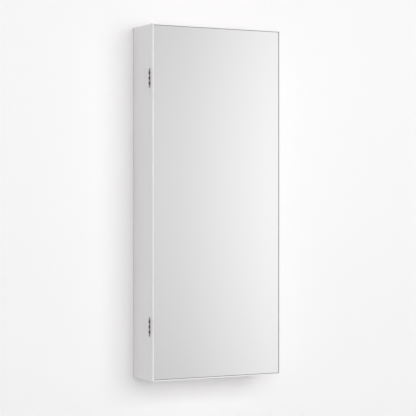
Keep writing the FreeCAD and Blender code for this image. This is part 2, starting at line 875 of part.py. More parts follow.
def ring_rolls():
    """Rolls side by side with rounded fronts: a ring is pushed into the slit between two of them."""
    wall = size("tray_wall")
    pitch = (size("tray_height") - wall * 2) / size("ring_roll_count")
    radius = (pitch - size("ring_roll_play")) / 2
    start = -tray_half + wall + size("ring_roll_play")
    length = -(start * 2)
    stem_face = tray_floor - size("ring_roll_stem")
    rolls = []
    for index in range(SIZES["ring_roll_count"]):
        centre = tray_bottom + wall + pitch * (index + 0.5)
        stem = loose_box((start, stem_face, centre - radius), (start + length, tray_floor, centre + radius))
        nose = loose_rod((start, stem_face, centre), "+X", radius, length)
        rolls.append(fused([stem, nose]))
    group("ring_rolls", rolls)


# ---- bracelet bar ----

def bracelet_bar():
    gap = size("socket_floor") + size("bracelet_bar_gap")
    piece = Piece("bracelet_bar", (inner_left + gap, bracelet_y, bracelet_z))
    piece.rod((inner_left + gap, bracelet_y, bracelet_z), "+X", size("bracelet_bar_radius"),
              inner_right - inner_left - gap * 2)
    sockets = []
    screws = []
    for face, along in ((inner_left, "+X"), (inner_right, "-X")):
        sign = 1 if along == "+X" else -1
        seat = face + size("socket_floor") * sign
        socket = doc.addObject("Part::Cut", "Socket")
        socket.Base = loose_rod((face, bracelet_y, bracelet_z), along, size("socket_radius"),
                                size("socket_depth"))
        socket.Tool = fused([
            loose_rod((seat, bracelet_y, bracelet_z), along, size("bracelet_bar_radius") + play,
                      size("socket_depth")),
            loose_rod((face, bracelet_y, bracelet_z), along, size("socket_screw_radius") + play,
                      size("socket_floor")),
        ])
        sockets.append(socket)
        screws.append(pan_screw((seat, bracelet_y, bracelet_z), opposite(along), size("socket_screw_radius"),
                                size("socket_screw_length"), size("socket_screw_head_radius"),
                                size("socket_screw_head_height")))
    group("bracelet_sockets", sockets)
    group("bracelet_socket_screws", screws)


# ---- magnetic catch ----

def magnetic_catch():
    """A block on the right side that holds a magnet between two steel poles."""
    half_block = size("catch_block_height") / 2
    half_ear = size("catch_ear_height") / 2
    half_pocket = size("catch_pocket_height") / 2
    rear = catch_face + size("catch_depth")
    pocket_low = catch_inner + size("catch_pocket_wall")
    pocket_high = inner_right - size("catch_pocket_wall")
    pocket_bed = catch_face + size("catch_pocket_depth")
    piece = Piece("catch_body", (catch_inner, catch_face, catch_z - half_ear))
    piece.box((catch_inner, catch_face, catch_z - half_block), (inner_right, rear, catch_z + half_block))
    piece.soften(size("edge_round"), lambda middle: near(middle.x, catch_inner))
    piece.box((inner_right - size("catch_ear_gauge"), catch_face, catch_z - half_ear),
              (inner_right, rear, catch_z + half_ear))
    piece.box((pocket_low, catch_face, catch_z - half_pocket), (pocket_high, pocket_bed, catch_z + half_pocket),
              cut=True)
    spread = size("catch_screw_spread")
    ear_face = inner_right - size("catch_ear_gauge")
    for rise in (-spread, spread):
        piece.rod((ear_face, catch_screw_y, catch_z + rise), "+X", size("catch_screw_radius") + play,
                  size("catch_ear_gauge"), cut=True)
    group("catch_screws", [
        pan_screw((ear_face, catch_screw_y, catch_z + rise), "+X", size("catch_screw_radius"),
                  size("catch_screw_length"), size("catch_screw_head_radius"), size("catch_screw_head_height"))
        for rise in (-spread, spread)
    ])
    magnet_low = pocket_low + size("pole_gauge")
    magnet_high = pocket_high - size("pole_gauge")
    magnet = Piece("catch_magnet", (magnet_low, pocket_bed - size("magnet_depth"), catch_z - half_pocket))
    magnet.box((magnet_low, pocket_bed - size("magnet_depth"), catch_z - half_pocket),
               (magnet_high, pocket_bed, catch_z + half_pocket))
    pole_tip = door_rear + size("strike_gauge") + size("pole_air_gap")
    group("catch_poles", [
        loose_box((low_x, pole_tip, catch_z - half_pocket),
                  (low_x + size("pole_gauge"), pocket_bed, catch_z + half_pocket))
        for low_x in (pocket_low, magnet_high)
    ])


def strike():
    """The steel plate on the back of the door that the poles hold."""
    centre_x = inner_right - size("catch_width") / 2
    half_width = size("strike_width") / 2
    half_height = size("strike_height") / 2
    face = door_rear + size("strike_gauge")
    piece = Piece("strike_plate", (centre_x - half_width, door_rear, catch_z - half_height))
    piece.box((centre_x - half_width, door_rear, catch_z - half_height),
              (centre_x + half_width, face, catch_z + half_height))
    piece.rod((centre_x, face, catch_z), "-Y", size("leaf_screw_radius") + play, size("strike_gauge"), cut=True)
    piece.sink((centre_x, face, catch_z), "-Y", size("leaf_screw_head_radius") + play,
               size("leaf_screw_radius") + play, size("strike_gauge"))
    group("strike_screw", [
        flush_screw((centre_x, face, catch_z), "-Y", size("leaf_screw_radius"), size("door_leaf_screw_length"),
                    size("leaf_screw_head_radius"), size("strike_gauge")),
    ])


# ---- hinges ----

def hinge_leaf(name, centre, face, into, own_first):
    """One leaf: a plate let into its board, and every second knuckle of the barrel."""
    into_sign = 1 if into == "+Y" else -1
    depth = size("leaf_gauge") * into_sign
    low_y, high_y = (face, face + depth) if into_sign > 0 else (face + depth, face)
    foot = centre - size("hinge_length") / 2
    plate_start = pin_x + size("hinge_pin_bore") + play
    own_count = (SIZES["knuckle_count"] + 1 - own_first) // 2
    other_count = SIZES["knuckle_count"] - own_count
    piece = Piece(name, (pin_x, pin_y, foot))
    piece.box((plate_start, low_y, foot), (leaf_edge, high_y, foot + size("hinge_length")))
    other_start = foot + knuckle_pitch * (1 - own_first) - size("knuckle_gap")
    notch = piece.rod((pin_x, pin_y, other_start), "+Z", size("barrel_radius") + size("barrel_relief"),
                      knuckle + size("knuckle_gap") * 2, cut=True)
    piece.row(notch, "Z", knuckle_pitch * 2 * (other_count - 1), ZERO + other_count)
    own = piece.rod((pin_x, pin_y, foot + knuckle_pitch * own_first), "+Z", size("barrel_radius"), knuckle)
    piece.row(own, "Z", knuckle_pitch * 2 * (own_count - 1), ZERO + own_count)
    piece.rod((pin_x, pin_y, foot), "+Z", size("hinge_pin_bore"), size("hinge_length"), cut=True)
    for across, rise in leaf_screws:
        place = (across, face, centre + rise)
        piece.rod(place, into, size("leaf_screw_radius") + play, size("leaf_gauge"), cut=True)
        piece.sink(place, into, size("leaf_screw_head_radius") + play, size("leaf_screw_radius") + play,
                   size("leaf_gauge"))


def hinge_pin(level, centre):
    """A pin through the barrel with a flat cap at each end."""
    foot = centre - size("hinge_length") / 2
    cap = size("pin_cap_height")
    piece = Piece(f"hinge_pin_{level}", (pin_x, pin_y, foot))
    piece.rod((pin_x, pin_y, foot - cap), "+Z", size("pin_cap_radius"), cap)
    piece.rod((pin_x, pin_y, foot - cap), "+Z", size("hinge_pin_radius"), size("hinge_length") + cap)
    piece.rod((pin_x, pin_y, foot + size("hinge_length")), "+Z", size("pin_cap_radius"), cap)


def leaf_screw_group(name, face, into, length):
    group(name, [
        flush_screw((across, face, centre + rise), into, size("leaf_screw_radius"), length,
                    size("leaf_screw_head_radius"), size("leaf_gauge"))
        for centre in hinge_centres.values()
        for across, rise in leaf_screws
    ])


def hinges():
    for level, centre in hinge_centres.items():
        hinge_leaf(f"hinge_case_leaf_{level}", centre, case_front, "+Y", 0)
        hinge_leaf(f"hinge_door_leaf_{level}", centre, door_rear, "-Y", 1)
        hinge_pin(level, centre)
    leaf_screw_group("hinge_case_screws", case_front, "+Y", size("case_leaf_screw_length"))
    leaf_screw_group("hinge_door_screws", door_rear, "-Y", size("door_leaf_screw_length"))


# ---- door ----

def rim_strip(name, corners):
    """One mitred edge strip of the door, given by its front outline, with rounded lips."""
    piece = Piece(name, (ZERO, door_rear, ZERO))
    piece.pad("XZ_Plane", corners, size("door_thickness"))

    def on_lip(middle):
        along_outer = near(abs(middle.x), right) or near(middle.z, top) or near(middle.z, bottom)
        inner_x = near(abs(middle.x), right - size("rim_width"))
        inner_z = near(middle.z, top - size("rim_width")) or near(middle.z, bottom + size("rim_width"))
        return near(middle.y, door_front) and (along_outer or inner_x or inner_z)

    piece.soften(size("rim_round"), on_lip)
    return piece


def door_rim():
    """Two stiles and two rails, mitred at the corners. Their front lip stands round the mirror."""
    rim = size("rim_width")
    outer = [(left, bottom), (right, bottom), (right, top), (left, top)]
    inner = [(left + rim, bottom + rim), (right - rim, bottom + rim), (right - rim, top - rim),
             (left + rim, top - rim)]
    names = ("door_rail_bottom", "door_stile_right", "door_rail_top", "door_stile_left")
    for index, name in enumerate(names):
        following = (index + 1) % len(names)
        strip = rim_strip(name, [outer[index], outer[following], inner[following], inner[index]])
    hinge_seats(strip, door_rear, "-Y", size("door_leaf_screw_length"))


def door_core():
    """The board that carries the mirror, the lining and the hinge leaves."""
    rim = size("rim_width")
    piece = Piece("door_core", (left + rim, core_front, bottom + rim))
    piece.box((left + rim, core_front, bottom + rim), (right - rim, door_rear, top - rim))
    hinge_seats(piece, door_rear, "-Y", size("door_leaf_screw_length"))
    for centre in bumper_centres():
        piece.rod(centre, "-Y", size("door_bumper_radius") + play, size("door_bumper_recess"), cut=True)
    strike_x = inner_right - size("catch_width") / 2
    strike_reach = size("door_leaf_screw_length") - size("strike_gauge") + play
    piece.rod((strike_x, door_rear, catch_z), "-Y", size("leaf_screw_radius") + play, strike_reach, cut=True)
    rack_reach = size("rack_screw_length") - size("rack_screw_seat") - size("door_lining_board") + play
    for sign, height in rack_screws:
        piece.rod((rack_screw_x * sign, door_rear, height), "-Y", size("rack_screw_radius") + play,
                  rack_reach, cut=True)


def bumper_centres():
    across = right - size("side_board") / 2
    return [
        (across, door_rear, top - size("door_bumper_inset")),
        (across, door_rear, bottom + size("door_bumper_inset")),
    ]


def door_bumpers():
    group("door_bumpers", [
        loose_rod((across, back_of_door - size("door_bumper_recess"), height), "+Y",
                  size("door_bumper_radius"), size("door_bumper_thickness"))
        for across, back_of_door, height in bumper_centres()
    ])


def mirror():
    """The glass, the film behind it, the tape that holds it and the seal round its edge."""
    edge = size("rim_width") + size("mirror_margin")
    low_x, high_x = left + edge, right - edge
    low_z, high_z = bottom + edge, top - edge
    glass = Piece("mirror_glass", (low_x, glass_front, low_z))
    glass.box((low_x, glass_front, low_z), (high_x, glass_rear, high_z))
    film = Piece("mirror_film", (low_x, glass_rear, low_z))
    film.box((low_x, glass_rear, low_z), (high_x, film_rear, high_z))
    wide = size("mirror_tape_width")
    tape = Piece("mirror_tape", (low_x, film_rear, low_z))
    tape.box((low_x, film_rear, low_z), (high_x, core_front, high_z))
    tape.box((low_x + wide, film_rear, low_z + wide), (high_x - wide, core_front, high_z - wide), cut=True)
    tape.box((-(wide / 2), film_rear, low_z + wide), (wide / 2, core_front, high_z - wide))
    gap = size("mirror_margin")
    seal_front = glass_front + size("seal_recess")
    seal = Piece("mirror_seal", (low_x - gap, seal_front, low_z - gap))
    seal.box((low_x - gap, seal_front, low_z - gap), (high_x + gap, core_front, high_z + gap))
    seal.box((low_x, seal_front, low_z), (high_x, core_front, high_z), cut=True)


def door_lining():
    margin = size("door_lining_margin")
    piece = Piece("door_lining", (left + margin, door_rear, bottom + margin))
    piece.box((left + margin, door_rear, bottom + margin), (right - margin, door_lining_face, top - margin))
    for sign, height in rack_screws:
        piece.rod((rack_screw_x * sign, door_lining_face, height), "-Y", size("rack_screw_radius") + play,
                  size("door_lining_board"), cut=True)


# ---- earring rack ----

def earring_brackets():
    """Two uprights with slots for the ends of the strips."""
    slot_depth = size("strip_in_bracket") + size("strip_play")
    slot_play = size("strip_play")
    for name, sign in (("earring_bracket_left", -1), ("earring_bracket_right", 1)):
        outer = rack_half * sign
        inner = bracket_inner * sign
        slot_bed = inner + slot_depth * sign
        low_x, high_x = (outer, inner) if sign < 0 else (inner, outer)
        slot_low, slot_high = (slot_bed, inner) if sign < 0 else (inner, slot_bed)
        rear = door_lining_face + size("bracket_depth")
        piece = Piece(name, (low_x, door_lining_face, rack_low))
        piece.box((low_x, door_lining_face, rack_low), (high_x, rear, rack_high))
        piece.soften(size("edge_round"), lambda middle: near(middle.y, rear))
        slot = piece.box((slot_low, strip_front - slot_play, strip_low - slot_play),
                         (slot_high, strip_rear + slot_play, strip_low + size("strip_height") + slot_play),
                         cut=True)
        piece.row(slot, "Z", strip_span, size("strip_count"))
        seat = door_lining_face + size("rack_screw_seat")
        for screw_sign, height in rack_screws:
            if screw_sign != sign:
                continue
            piece.rod((rack_screw_x * sign, door_lining_face, height), "+Y",
                      size("rack_screw_radius") + play, size("rack_screw_seat"), cut=True)
            piece.rod((rack_screw_x * sign, seat, height), "+Y",
                      size("rack_screw_head_radius") + play, size("bracket_depth"), cut=True)
    group("earring_rack_screws", [
        pan_screw((rack_screw_x * sign, door_lining_face + size("rack_screw_seat"), height), "-Y",
                  size("rack_screw_radius"), size("rack_screw_length"), size("rack_screw_head_radius"),
                  size("rack_screw_head_height"))
        for sign, height in rack_screws
    ])


def earring_strips():
    """Thin strips pierced with a row of holes for hooks."""
    low_x = -(bracket_inner + size("strip_in_bracket"))
    piece = Piece("earring_strips", (low_x, strip_front, strip_low))
    strip = piece.box((low_x, strip_front, strip_low), (-low_x, strip_rear, strip_low + size("strip_height")))
    piece.row(strip, "Z", strip_span, size("strip_count"))
    hole_start = -(bracket_inner - size("earring_hole_inset"))
    hole_span = -(hole_start * 2)
    hole = piece.rod((hole_start, strip_front, strip_low + size("strip_height") / 2), "+Y",
                     size("earring_hole_radius"), size("strip_gauge"), cut=True)
    piece.row(hole, "X", hole_span, size("earring_hole_count"), "Z", strip_span, size("strip_count"))


# ---- cushion for stud earrings ----

def stud_cushion():
    half = inner_right - size("cushion_side_inset")
    low_z = inner_bottom + size("cushion_height")
    high_z = low_z + size("cushion_tall")
    board_face = door_lining_face + size("cushion_board")
    pad_face = board_face + size("cushion_pad")
    inset = size("cushion_inset")
    board = Piece("stud_cushion_board", (-half, door_lining_face, low_z))
    board.box((-half, door_lining_face, low_z), (half, board_face, high_z))
    pad = Piece("stud_cushion", (-half + inset, board_face, low_z + inset))
    pad.box((-half + inset, board_face, low_z + inset), (half - inset, pad_face, high_z - inset))
    pad.soften(size("cushion_round"), lambda middle: near(middle.y, pad_face))


wall_bar()
case_bar()
wall_bumpers()
case_sides()
end_board("case_top", inner_top, top, inner_top, 1, end_centres["top"])
end_board("case_bottom", bottom, inner_bottom, inner_bottom, -1, end_centres["bottom"])
corner_dowels()
back()
necklace_rail()
necklace_pegs()
shelf("upper")
shelf("lower")
shelf_pads()
shelf_pins()
gallery()
bins()
ring_tray()
ring_rolls()
bracelet_bar()
magnetic_catch()
strike()
hinges()
door_rim()
door_core()
door_bumpers()
mirror()
door_lining()
earring_brackets()
earring_strips()
stud_cushion()

doc.recompute()

faults = []
for thing in doc.Objects:
    if "Invalid" in thing.State or "Error" in thing.State:
        faults.append(f"{thing.Name}: {thing.State}")
for piece in pieces:
    if piece.Shape.isNull() or not piece.Shape.isValid() or not piece.Shape.Solids:
        faults.append(f"{piece.Label}: no valid solid")
if faults:
    raise RuntimeError("; ".join(faults))

os.makedirs("parts", exist_ok=True)
for piece in pieces:
    piece.Shape.exportStep(f"parts/{piece.Label}.step")
    box = piece.Shape.BoundBox
    print(f"{piece.Label}: {len(piece.Shape.Solids)} solid(s), {piece.Shape.Volume / 1000:.2f} cm3, "
          f"x {box.XMin:.2f}..{box.XMax:.2f} y {box.YMin:.2f}..{box.YMax:.2f} z {box.ZMin:.2f}..{box.ZMax:.2f}")
print(len(pieces), "sub-parts")
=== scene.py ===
"""Looks of a wall-hung jewelry cabinet whose front is one framed mirror door.

The boards, bars and hinges keep their solids and get their finishes here. Everything upholstered, turned or
fastened is built new, as surfaces worked out with numpy, in the places of the solids that it stands for.
"""

import logging
import math
from dataclasses import dataclass
from enum import Enum

import bpy
import numpy as np
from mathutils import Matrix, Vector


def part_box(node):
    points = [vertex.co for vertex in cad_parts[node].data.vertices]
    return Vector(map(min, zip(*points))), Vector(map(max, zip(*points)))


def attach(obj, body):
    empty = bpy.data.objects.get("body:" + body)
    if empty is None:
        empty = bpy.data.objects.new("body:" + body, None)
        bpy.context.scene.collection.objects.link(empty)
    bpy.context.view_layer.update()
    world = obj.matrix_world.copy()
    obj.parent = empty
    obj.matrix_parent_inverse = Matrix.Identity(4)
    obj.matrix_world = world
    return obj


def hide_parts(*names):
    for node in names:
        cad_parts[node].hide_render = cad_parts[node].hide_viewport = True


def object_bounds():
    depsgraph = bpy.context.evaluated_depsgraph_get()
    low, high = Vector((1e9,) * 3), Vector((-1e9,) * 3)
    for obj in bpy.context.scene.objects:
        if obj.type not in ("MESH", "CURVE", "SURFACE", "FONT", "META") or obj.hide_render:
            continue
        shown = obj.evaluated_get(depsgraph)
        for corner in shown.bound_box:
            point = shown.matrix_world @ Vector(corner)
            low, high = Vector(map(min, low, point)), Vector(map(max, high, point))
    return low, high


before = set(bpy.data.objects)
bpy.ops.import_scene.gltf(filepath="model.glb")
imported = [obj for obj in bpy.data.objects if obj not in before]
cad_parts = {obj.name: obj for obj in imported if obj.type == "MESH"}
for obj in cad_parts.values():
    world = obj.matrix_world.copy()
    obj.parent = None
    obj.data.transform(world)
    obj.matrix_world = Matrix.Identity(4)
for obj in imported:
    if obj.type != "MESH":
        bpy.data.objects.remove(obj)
solid_low, solid_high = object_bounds()

LOG = logging.getLogger("jewelry_cabinet")
MM = 0.001
# Points of a rounded block that are closer than this, in metres, are one point.
SAME_POINT = 1e-7
# The mesh of each solid that is looked for has more points than this.
SMALLEST_SOLID = 60

Colour = tuple[float, float, float]
Point = tuple[float, float, float]
Surface = tuple[np.ndarray, list[np.ndarray]]
Solid = tuple[np.ndarray, np.ndarray, np.ndarray]
Socket = bpy.types.NodeSocket
Sockets = bpy.types.bpy_prop_collection
Value = Socket | float | tuple[float, ...]


class Axis(Enum):
    """An axis of the cabinet's frame."""

    X = 0
    Y = 1
    Z = 2


# ---- surfaces ----


def mesh_object(name: str, surface: Surface, smooth: bool = True) -> bpy.types.Object:
    """Put a surface into a new object that sits at the origin.

    Args:
        name: The piece's name.
        surface: Points, and arrays of faces that index them.
        smooth: Whether light runs smoothly over the faces.

    Returns:
        The new object, linked to the scene.
    """
    points, faces = surface
    corners = np.concatenate([part.ravel() for part in faces]).astype(np.int32)
    sizes = np.concatenate([np.full(len(part), part.shape[1]) for part in faces])
    starts = np.concatenate([[0], np.cumsum(sizes)[:-1]]).astype(np.int32)
    mesh = bpy.data.meshes.new(name)
    mesh.vertices.add(len(points))
    mesh.vertices.foreach_set("co", points.astype(np.float32).ravel())
    mesh.loops.add(len(corners))
    mesh.loops.foreach_set("vertex_index", corners)
    mesh.polygons.add(len(sizes))
    mesh.polygons.foreach_set("loop_start", starts)
    mesh.polygons.foreach_set("use_smooth", np.full(len(sizes), smooth))
    mesh.update(calc_edges=True)
    mesh.validate()
    piece = bpy.data.objects.new(name, mesh)
    bpy.context.scene.collection.objects.link(piece)
    return piece


def joined(surfaces: list[Surface]) -> Surface:
    """Several closed surfaces as one, each one's faces shifted past the points before it.

    Args:
        surfaces: The closed surfaces.

    Returns:
        One surface that holds them all.
    """
    points: list[np.ndarray] = []
    faces: list[np.ndarray] = []
    count = 0
    for part_points, part_faces in surfaces:
        points.append(part_points)
        faces.extend(part + count for part in part_faces)
        count += len(part_points)
    return np.concatenate(points), faces


def basis(axis: Axis, sign: int) -> tuple[np.ndarray, np.ndarray, np.ndarray]:
    """The unit vector along an axis, and two across it whose cross product is the first."""
    unit = np.eye(3)
    return unit[axis.value] * sign, unit[(axis.value + 1) % 3], unit[(axis.value + 2) % 3] * sign


def capped_tube(rings: np.ndarray, first: np.ndarray, last: np.ndarray) -> Surface:
    """Close a stack of rings into a surface with a pole at each end.

    Ring i, point j joins ring i + 1 and point j + 1 in a quad. The poles fan out to the end rings.

    Args:
        rings: Points as an array of rings by points around by 3.
        first: The pole before the first ring.
        last: The pole after the last ring.

    Returns:
        The closed surface.
    """
    count, around = rings.shape[:2]
    points = np.concatenate([rings.reshape(-1, 3), first[None], last[None]])
    step = np.arange(around)
    following = (step + 1) % around
    rows = np.arange(count - 1)[:, None] * around
    quads = np.stack([rows + step, rows + following, rows + around + following, rows + around + step], -1)
    end = (count - 1) * around
    near_fan = np.stack([np.full(around, count * around), following, step], -1)
    far_fan = np.stack([np.full(around, count * around + 1), end + step, end + following], -1)
    return points, [quads.reshape(-1, 4), np.concatenate([near_fan, far_fan])]


def turned(profile: np.ndarray, seat: Point, axis: Axis, sign: int = 1, around: int = 48) -> Surface:
    """A turned solid: a point is seat + along * axis + radius * (cos t, sin t) across it.

    Args:
        profile: Rows of (radius, along), rising, whose first and last radius is zero.
        seat: Where along is zero.
        axis: The axis that it is turned about.
        sign: +1 or -1, the way that along points.
        around: Points around.

    Returns:
        The closed surface.
    """
    angle = np.linspace(0, 2 * math.pi, around, endpoint=False)
    ahead, across, beside = basis(axis, sign)
    radius, along = profile[1:-1, 0], profile[1:-1, 1]
    spokes = np.cos(angle)[:, None] * across + np.sin(angle)[:, None] * beside
    rings = np.array(seat) + along[:, None, None] * ahead + radius[:, None, None] * spokes[None]
    first, last = (np.array(seat) + profile[row, 1] * ahead for row in (0, -1))
    return capped_tube(rings, first, last)


def arc(centre: tuple[float, float], radius: float, start: float, end: float, count: int) -> np.ndarray:
    """Points on a circle in a profile's plane, from one angle to another, in degrees."""
    angle = np.radians(np.linspace(start, end, count))
    return np.stack([centre[0] + radius * np.cos(angle), centre[1] + radius * np.sin(angle)], -1)


def border_lines(low: float, high: float, radius: float, steps: int, edge_steps: int) -> np.ndarray:
    """Grid lines across one side of a rounded block.

    Near each end the lines are at radius * tan(k * 45 deg / edge_steps) from the rounding's start, which
    spaces them evenly once the corner is rounded. The stretch between is divided evenly.

    Args:
        low: Where the side starts.
        high: Where the side ends.
        radius: Radius of the edges.
        steps: Divisions of the flat stretch.
        edge_steps: Divisions of half a rounded edge.

    Returns:
        The places of the lines, rising.
    """
    edge = radius * np.tan(np.linspace(0, math.pi / 4, edge_steps + 1))
    middle = np.linspace(low + radius, high - radius, steps + 1)
    return np.concatenate([low + radius - edge[::-1], middle[1:-1], high - radius + edge])


def rounded_block(low: np.ndarray, high: np.ndarray, radius: float, steps: tuple[int, int, int],
                  edge_steps: int = 4) -> Surface:
    """A block with all its edges and corners rounded.

    A point q on the plain block moves to c + radius * (q - c) / |q - c|, where c is q held inside the block
    that is smaller by the radius on every side.

    Args:
        low: Lowest corner.
        high: Highest corner.
        radius: Radius of the edges.
        steps: Divisions of the flat stretch along each axis.
        edge_steps: Divisions of half a rounded edge.

    Returns:
        The closed surface.
    """
    lines = [border_lines(low[k], high[k], radius, steps[k], edge_steps) for k in range(3)]
    points: list[np.ndarray] = []
    faces: list[np.ndarray] = []
    count = 0
    for axis in range(3):
        for level, sign in ((low[axis], -1), (high[axis], 1)):
            first, second = (axis + 1) % 3, (axis + 2) % 3
            if sign < 0:
                first, second = second, first
            grid = np.empty((len(lines[first]), len(lines[second]), 3))
            grid[..., axis] = level
            grid[..., first] = lines[first][:, None]
            grid[..., second] = lines[second][None]
            rows, columns = grid.shape[:2]
            index = count + np.arange(rows * columns).reshape(rows, columns)
            quads = np.stack([index[:-1, :-1], index[1:, :-1], index[1:, 1:], index[:-1, 1:]], -1)
            faces.append(quads.reshape(-1, 4))
            points.append(grid.reshape(-1, 3))
            count += rows * columns
    cloud = np.concatenate(points)
    cells = np.round(cloud / SAME_POINT).astype(np.int64)
    _, kept, merged = np.unique(cells, axis=0, return_index=True, return_inverse=True)
    cloud = cloud[kept]
    held = np.clip(cloud, low + radius, high - radius)
    away = cloud - held
    rounded = held + radius * away / np.linalg.norm(away, axis=1, keepdims=True)
    return rounded, [merged.ravel()[np.concatenate(faces)]]


def swept(section: np.ndarray, stations: np.ndarray, middle: tuple[float, float]) -> Surface:
    """A section carried along X: a point is middle + scale(s) * section(t), at station s.

    Args:
        section: Closed outline, rows of (y, z) from the middle, anticlockwise seen from +X.
        stations: Rows of (along, scale). The first and last scale are zero.
        middle: Where the section's zero is, as (y, z).

    Returns:
        The closed surface.
    """
    inner = stations[1:-1]
    rings = np.empty((len(inner), len(section), 3))
    rings[..., 0] = inner[:, :1]
    rings[..., 1:] = np.array(middle) + inner[:, 1, None, None] * section
    first, last = (np.array((along, *middle)) for along in stations[[0, -1], 0])
    return capped_tube(rings, first, last)


def corners_of(node: str) -> tuple[np.ndarray, np.ndarray]:
    """A node's lowest and highest corner."""
    low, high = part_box(node)
    return np.array(low), np.array(high)


def solids_of(node: str, gap: float = 1 * MM) -> list[Solid]:
    """The separate solids of a node, found by splitting its points wherever an axis has a gap between them.

    Args:
        node: The node's name.
        gap: The least gap that parts two solids.

    Returns:
        For each solid its points, lowest corner and highest corner, sorted by X, then Z.
    """
    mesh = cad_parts[node].data
    points = np.empty(len(mesh.vertices) * 3, np.float32)
    mesh.vertices.foreach_get("co", points)
    waiting = [points.reshape(-1, 3).astype(float)]
    whole: list[np.ndarray] = []
    while waiting:
        cloud = waiting.pop()
        for axis in range(3):
            order = np.argsort(cloud[:, axis])
            breaks = np.flatnonzero(np.diff(cloud[order, axis]) > gap) + 1
            parts = np.split(order, breaks)
            if len(parts) > 1 and min(len(part) for part in parts) > SMALLEST_SOLID:
                waiting.extend(cloud[part] for part in parts)
                break
        else:
            whole.append(cloud)
    found = [(cloud, cloud.min(0), cloud.max(0)) for cloud in whole]
    return sorted(found, key=lambda solid: (round(solid[1][0], 4), round(solid[1][2], 4)))


# ---- shader nodes ----


class NodeSheet:
    """A node tree that is filled by name."""

    def __init__(self, tree: bpy.types.NodeTree) -> None:
        """Start from an empty tree."""
        self.tree = tree
        tree.nodes.clear()

    def add(self, kind: str, inputs: dict[str | int, Value] | None = None,
            **settings: object) -> bpy.types.Node:
        """Add a node.

        Args:
            kind: The node's type, without its ShaderNode prefix.
            inputs: For each input, by name or place, a plain value or another node's output.
            settings: Properties of the node.

        Returns:
            The new node.
        """
        node = self.tree.nodes.new(kind if kind.startswith("Node") else f"ShaderNode{kind}")
        for name, value in settings.items():
            setattr(node, name, value)
        for name, value in (inputs or {}).items():
            self.give(node.inputs[name], value)
        return node

    def give(self, socket: Socket, value: Value) -> None:
        """Link an output to an input, or set the input to a plain value.

        Args:
            socket: The input.
            value: The output or the value.
        """
        if isinstance(value, bpy.types.NodeSocket):
            self.tree.links.new(value, socket)
        else:
            socket.default_value = value

    def maths(self, operation: str, first: Value, second: Value = 0.0, clamp: bool = False) -> Socket:
        """A Math node's output."""
        return self.add("Math", {0: first, 1: second}, operation=operation, use_clamp=clamp).outputs[0]

    def mix(self, share: Value, first: Value, second: Value, blend: str = "MIX") -> Socket:
        """A mix of two colours.

        Args:
            share: How much of the second colour there is, from 0 to 1.
            first: A colour or an output.
            second: A colour or an output.
            blend: How they are mixed.

        Returns:
            The mixed colour.
        """
        node = self.add("Mix", {"Factor": share}, data_type="RGBA", blend_type=blend)
        colour_sockets = node.inputs[6], node.inputs[7]
        for socket, colour in zip(colour_sockets, (first, second)):
            self.give(socket, (*colour, 1.0) if isinstance(colour, tuple) else colour)
        return node.outputs[2]

    def grey(self, level: Value) -> Socket:
        """A grey of one level."""
        return self.add("CombineColor", {0: level, 1: level, 2: level}).outputs[0]

    def span(self, value: Value, low: float, high: float, to_low: float, to_high: float) -> Socket:
        """A value carried from one range to another, and held inside it."""
        inputs = {"Value": value, "From Min": low, "From Max": high, "To Min": to_low, "To Max": to_high}
        return self.add("MapRange", inputs, clamp=True).outputs[0]

    def here(self) -> Socket:
        """The place on the object."""
        return self.add("TexCoord").outputs["Object"]

    def stretched(self, by: Value) -> Socket:
        """The place on the object, multiplied axis by axis."""
        return self.add("VectorMath", {0: self.here(), 1: by}, operation="MULTIPLY").outputs[0]

    def distance(self, spot: Point) -> Socket:
        """How far the place on the object is from a spot."""
        return self.add("VectorMath", {0: self.here(), 1: spot}, operation="DISTANCE").outputs[1]

    def noise(self, where: Socket, scale: Value, detail: float = 2.0, rough: float = 0.5) -> Socket:
        """Noise from 0 to 1 about 0.5."""
        inputs = {"Vector": where, "Scale": scale, "Detail": detail, "Roughness": rough}
        return self.add("TexNoise", inputs).outputs[0]

    def bump(self, height: Socket, distance: Value, strength: float = 1.0,
             normal: Socket | None = None) -> Socket:
        """A surface normal from a height.

        Args:
            height: The height, from 0 to 1.
            distance: What a height of 1 is, in metres.
            strength: How much of the effect there is.
            normal: Another normal that it goes over.

        Returns:
            The normal.
        """
        inputs = {"Height": height, "Distance": distance, "Strength": strength}
        if normal is not None:
            inputs["Normal"] = normal
        return self.add("Bump", inputs).outputs[0]


class Effect(Enum):
    """Surface effects that several finishes share, each a node group."""

    ORANGE_PEEL = "orange_peel"
    TONE_DRIFT = "tone_drift"
    DRAWN_LINES = "drawn_lines"
    RUBBED = "rubbed"
    PILE = "pile"


def new_group(effect: Effect, inputs: dict[str, tuple[str, Value]],
              outputs: dict[str, str]) -> tuple[bpy.types.NodeTree, NodeSheet, Sockets, Sockets]:
    """An empty node group with named sockets.

    Args:
        effect: Which effect it is.
        inputs: For each input, its socket type and value.
        outputs: For each output, its socket type.

    Returns:
        The group, its sheet, its input node's outputs and its output node's inputs.
    """
    group = bpy.data.node_groups.new(effect.value, "ShaderNodeTree")
    sheet = NodeSheet(group)
    for name, (kind, value) in inputs.items():
        socket = group.interface.new_socket(name, in_out="INPUT", socket_type=f"NodeSocket{kind}")
        socket.default_value = value
    for name, kind in outputs.items():
        group.interface.new_socket(name, in_out="OUTPUT", socket_type=f"NodeSocket{kind}")
    entry = sheet.add("NodeGroupInput")
    leave = sheet.add("NodeGroupOutput")
    return group, sheet, entry.outputs, leave.inputs


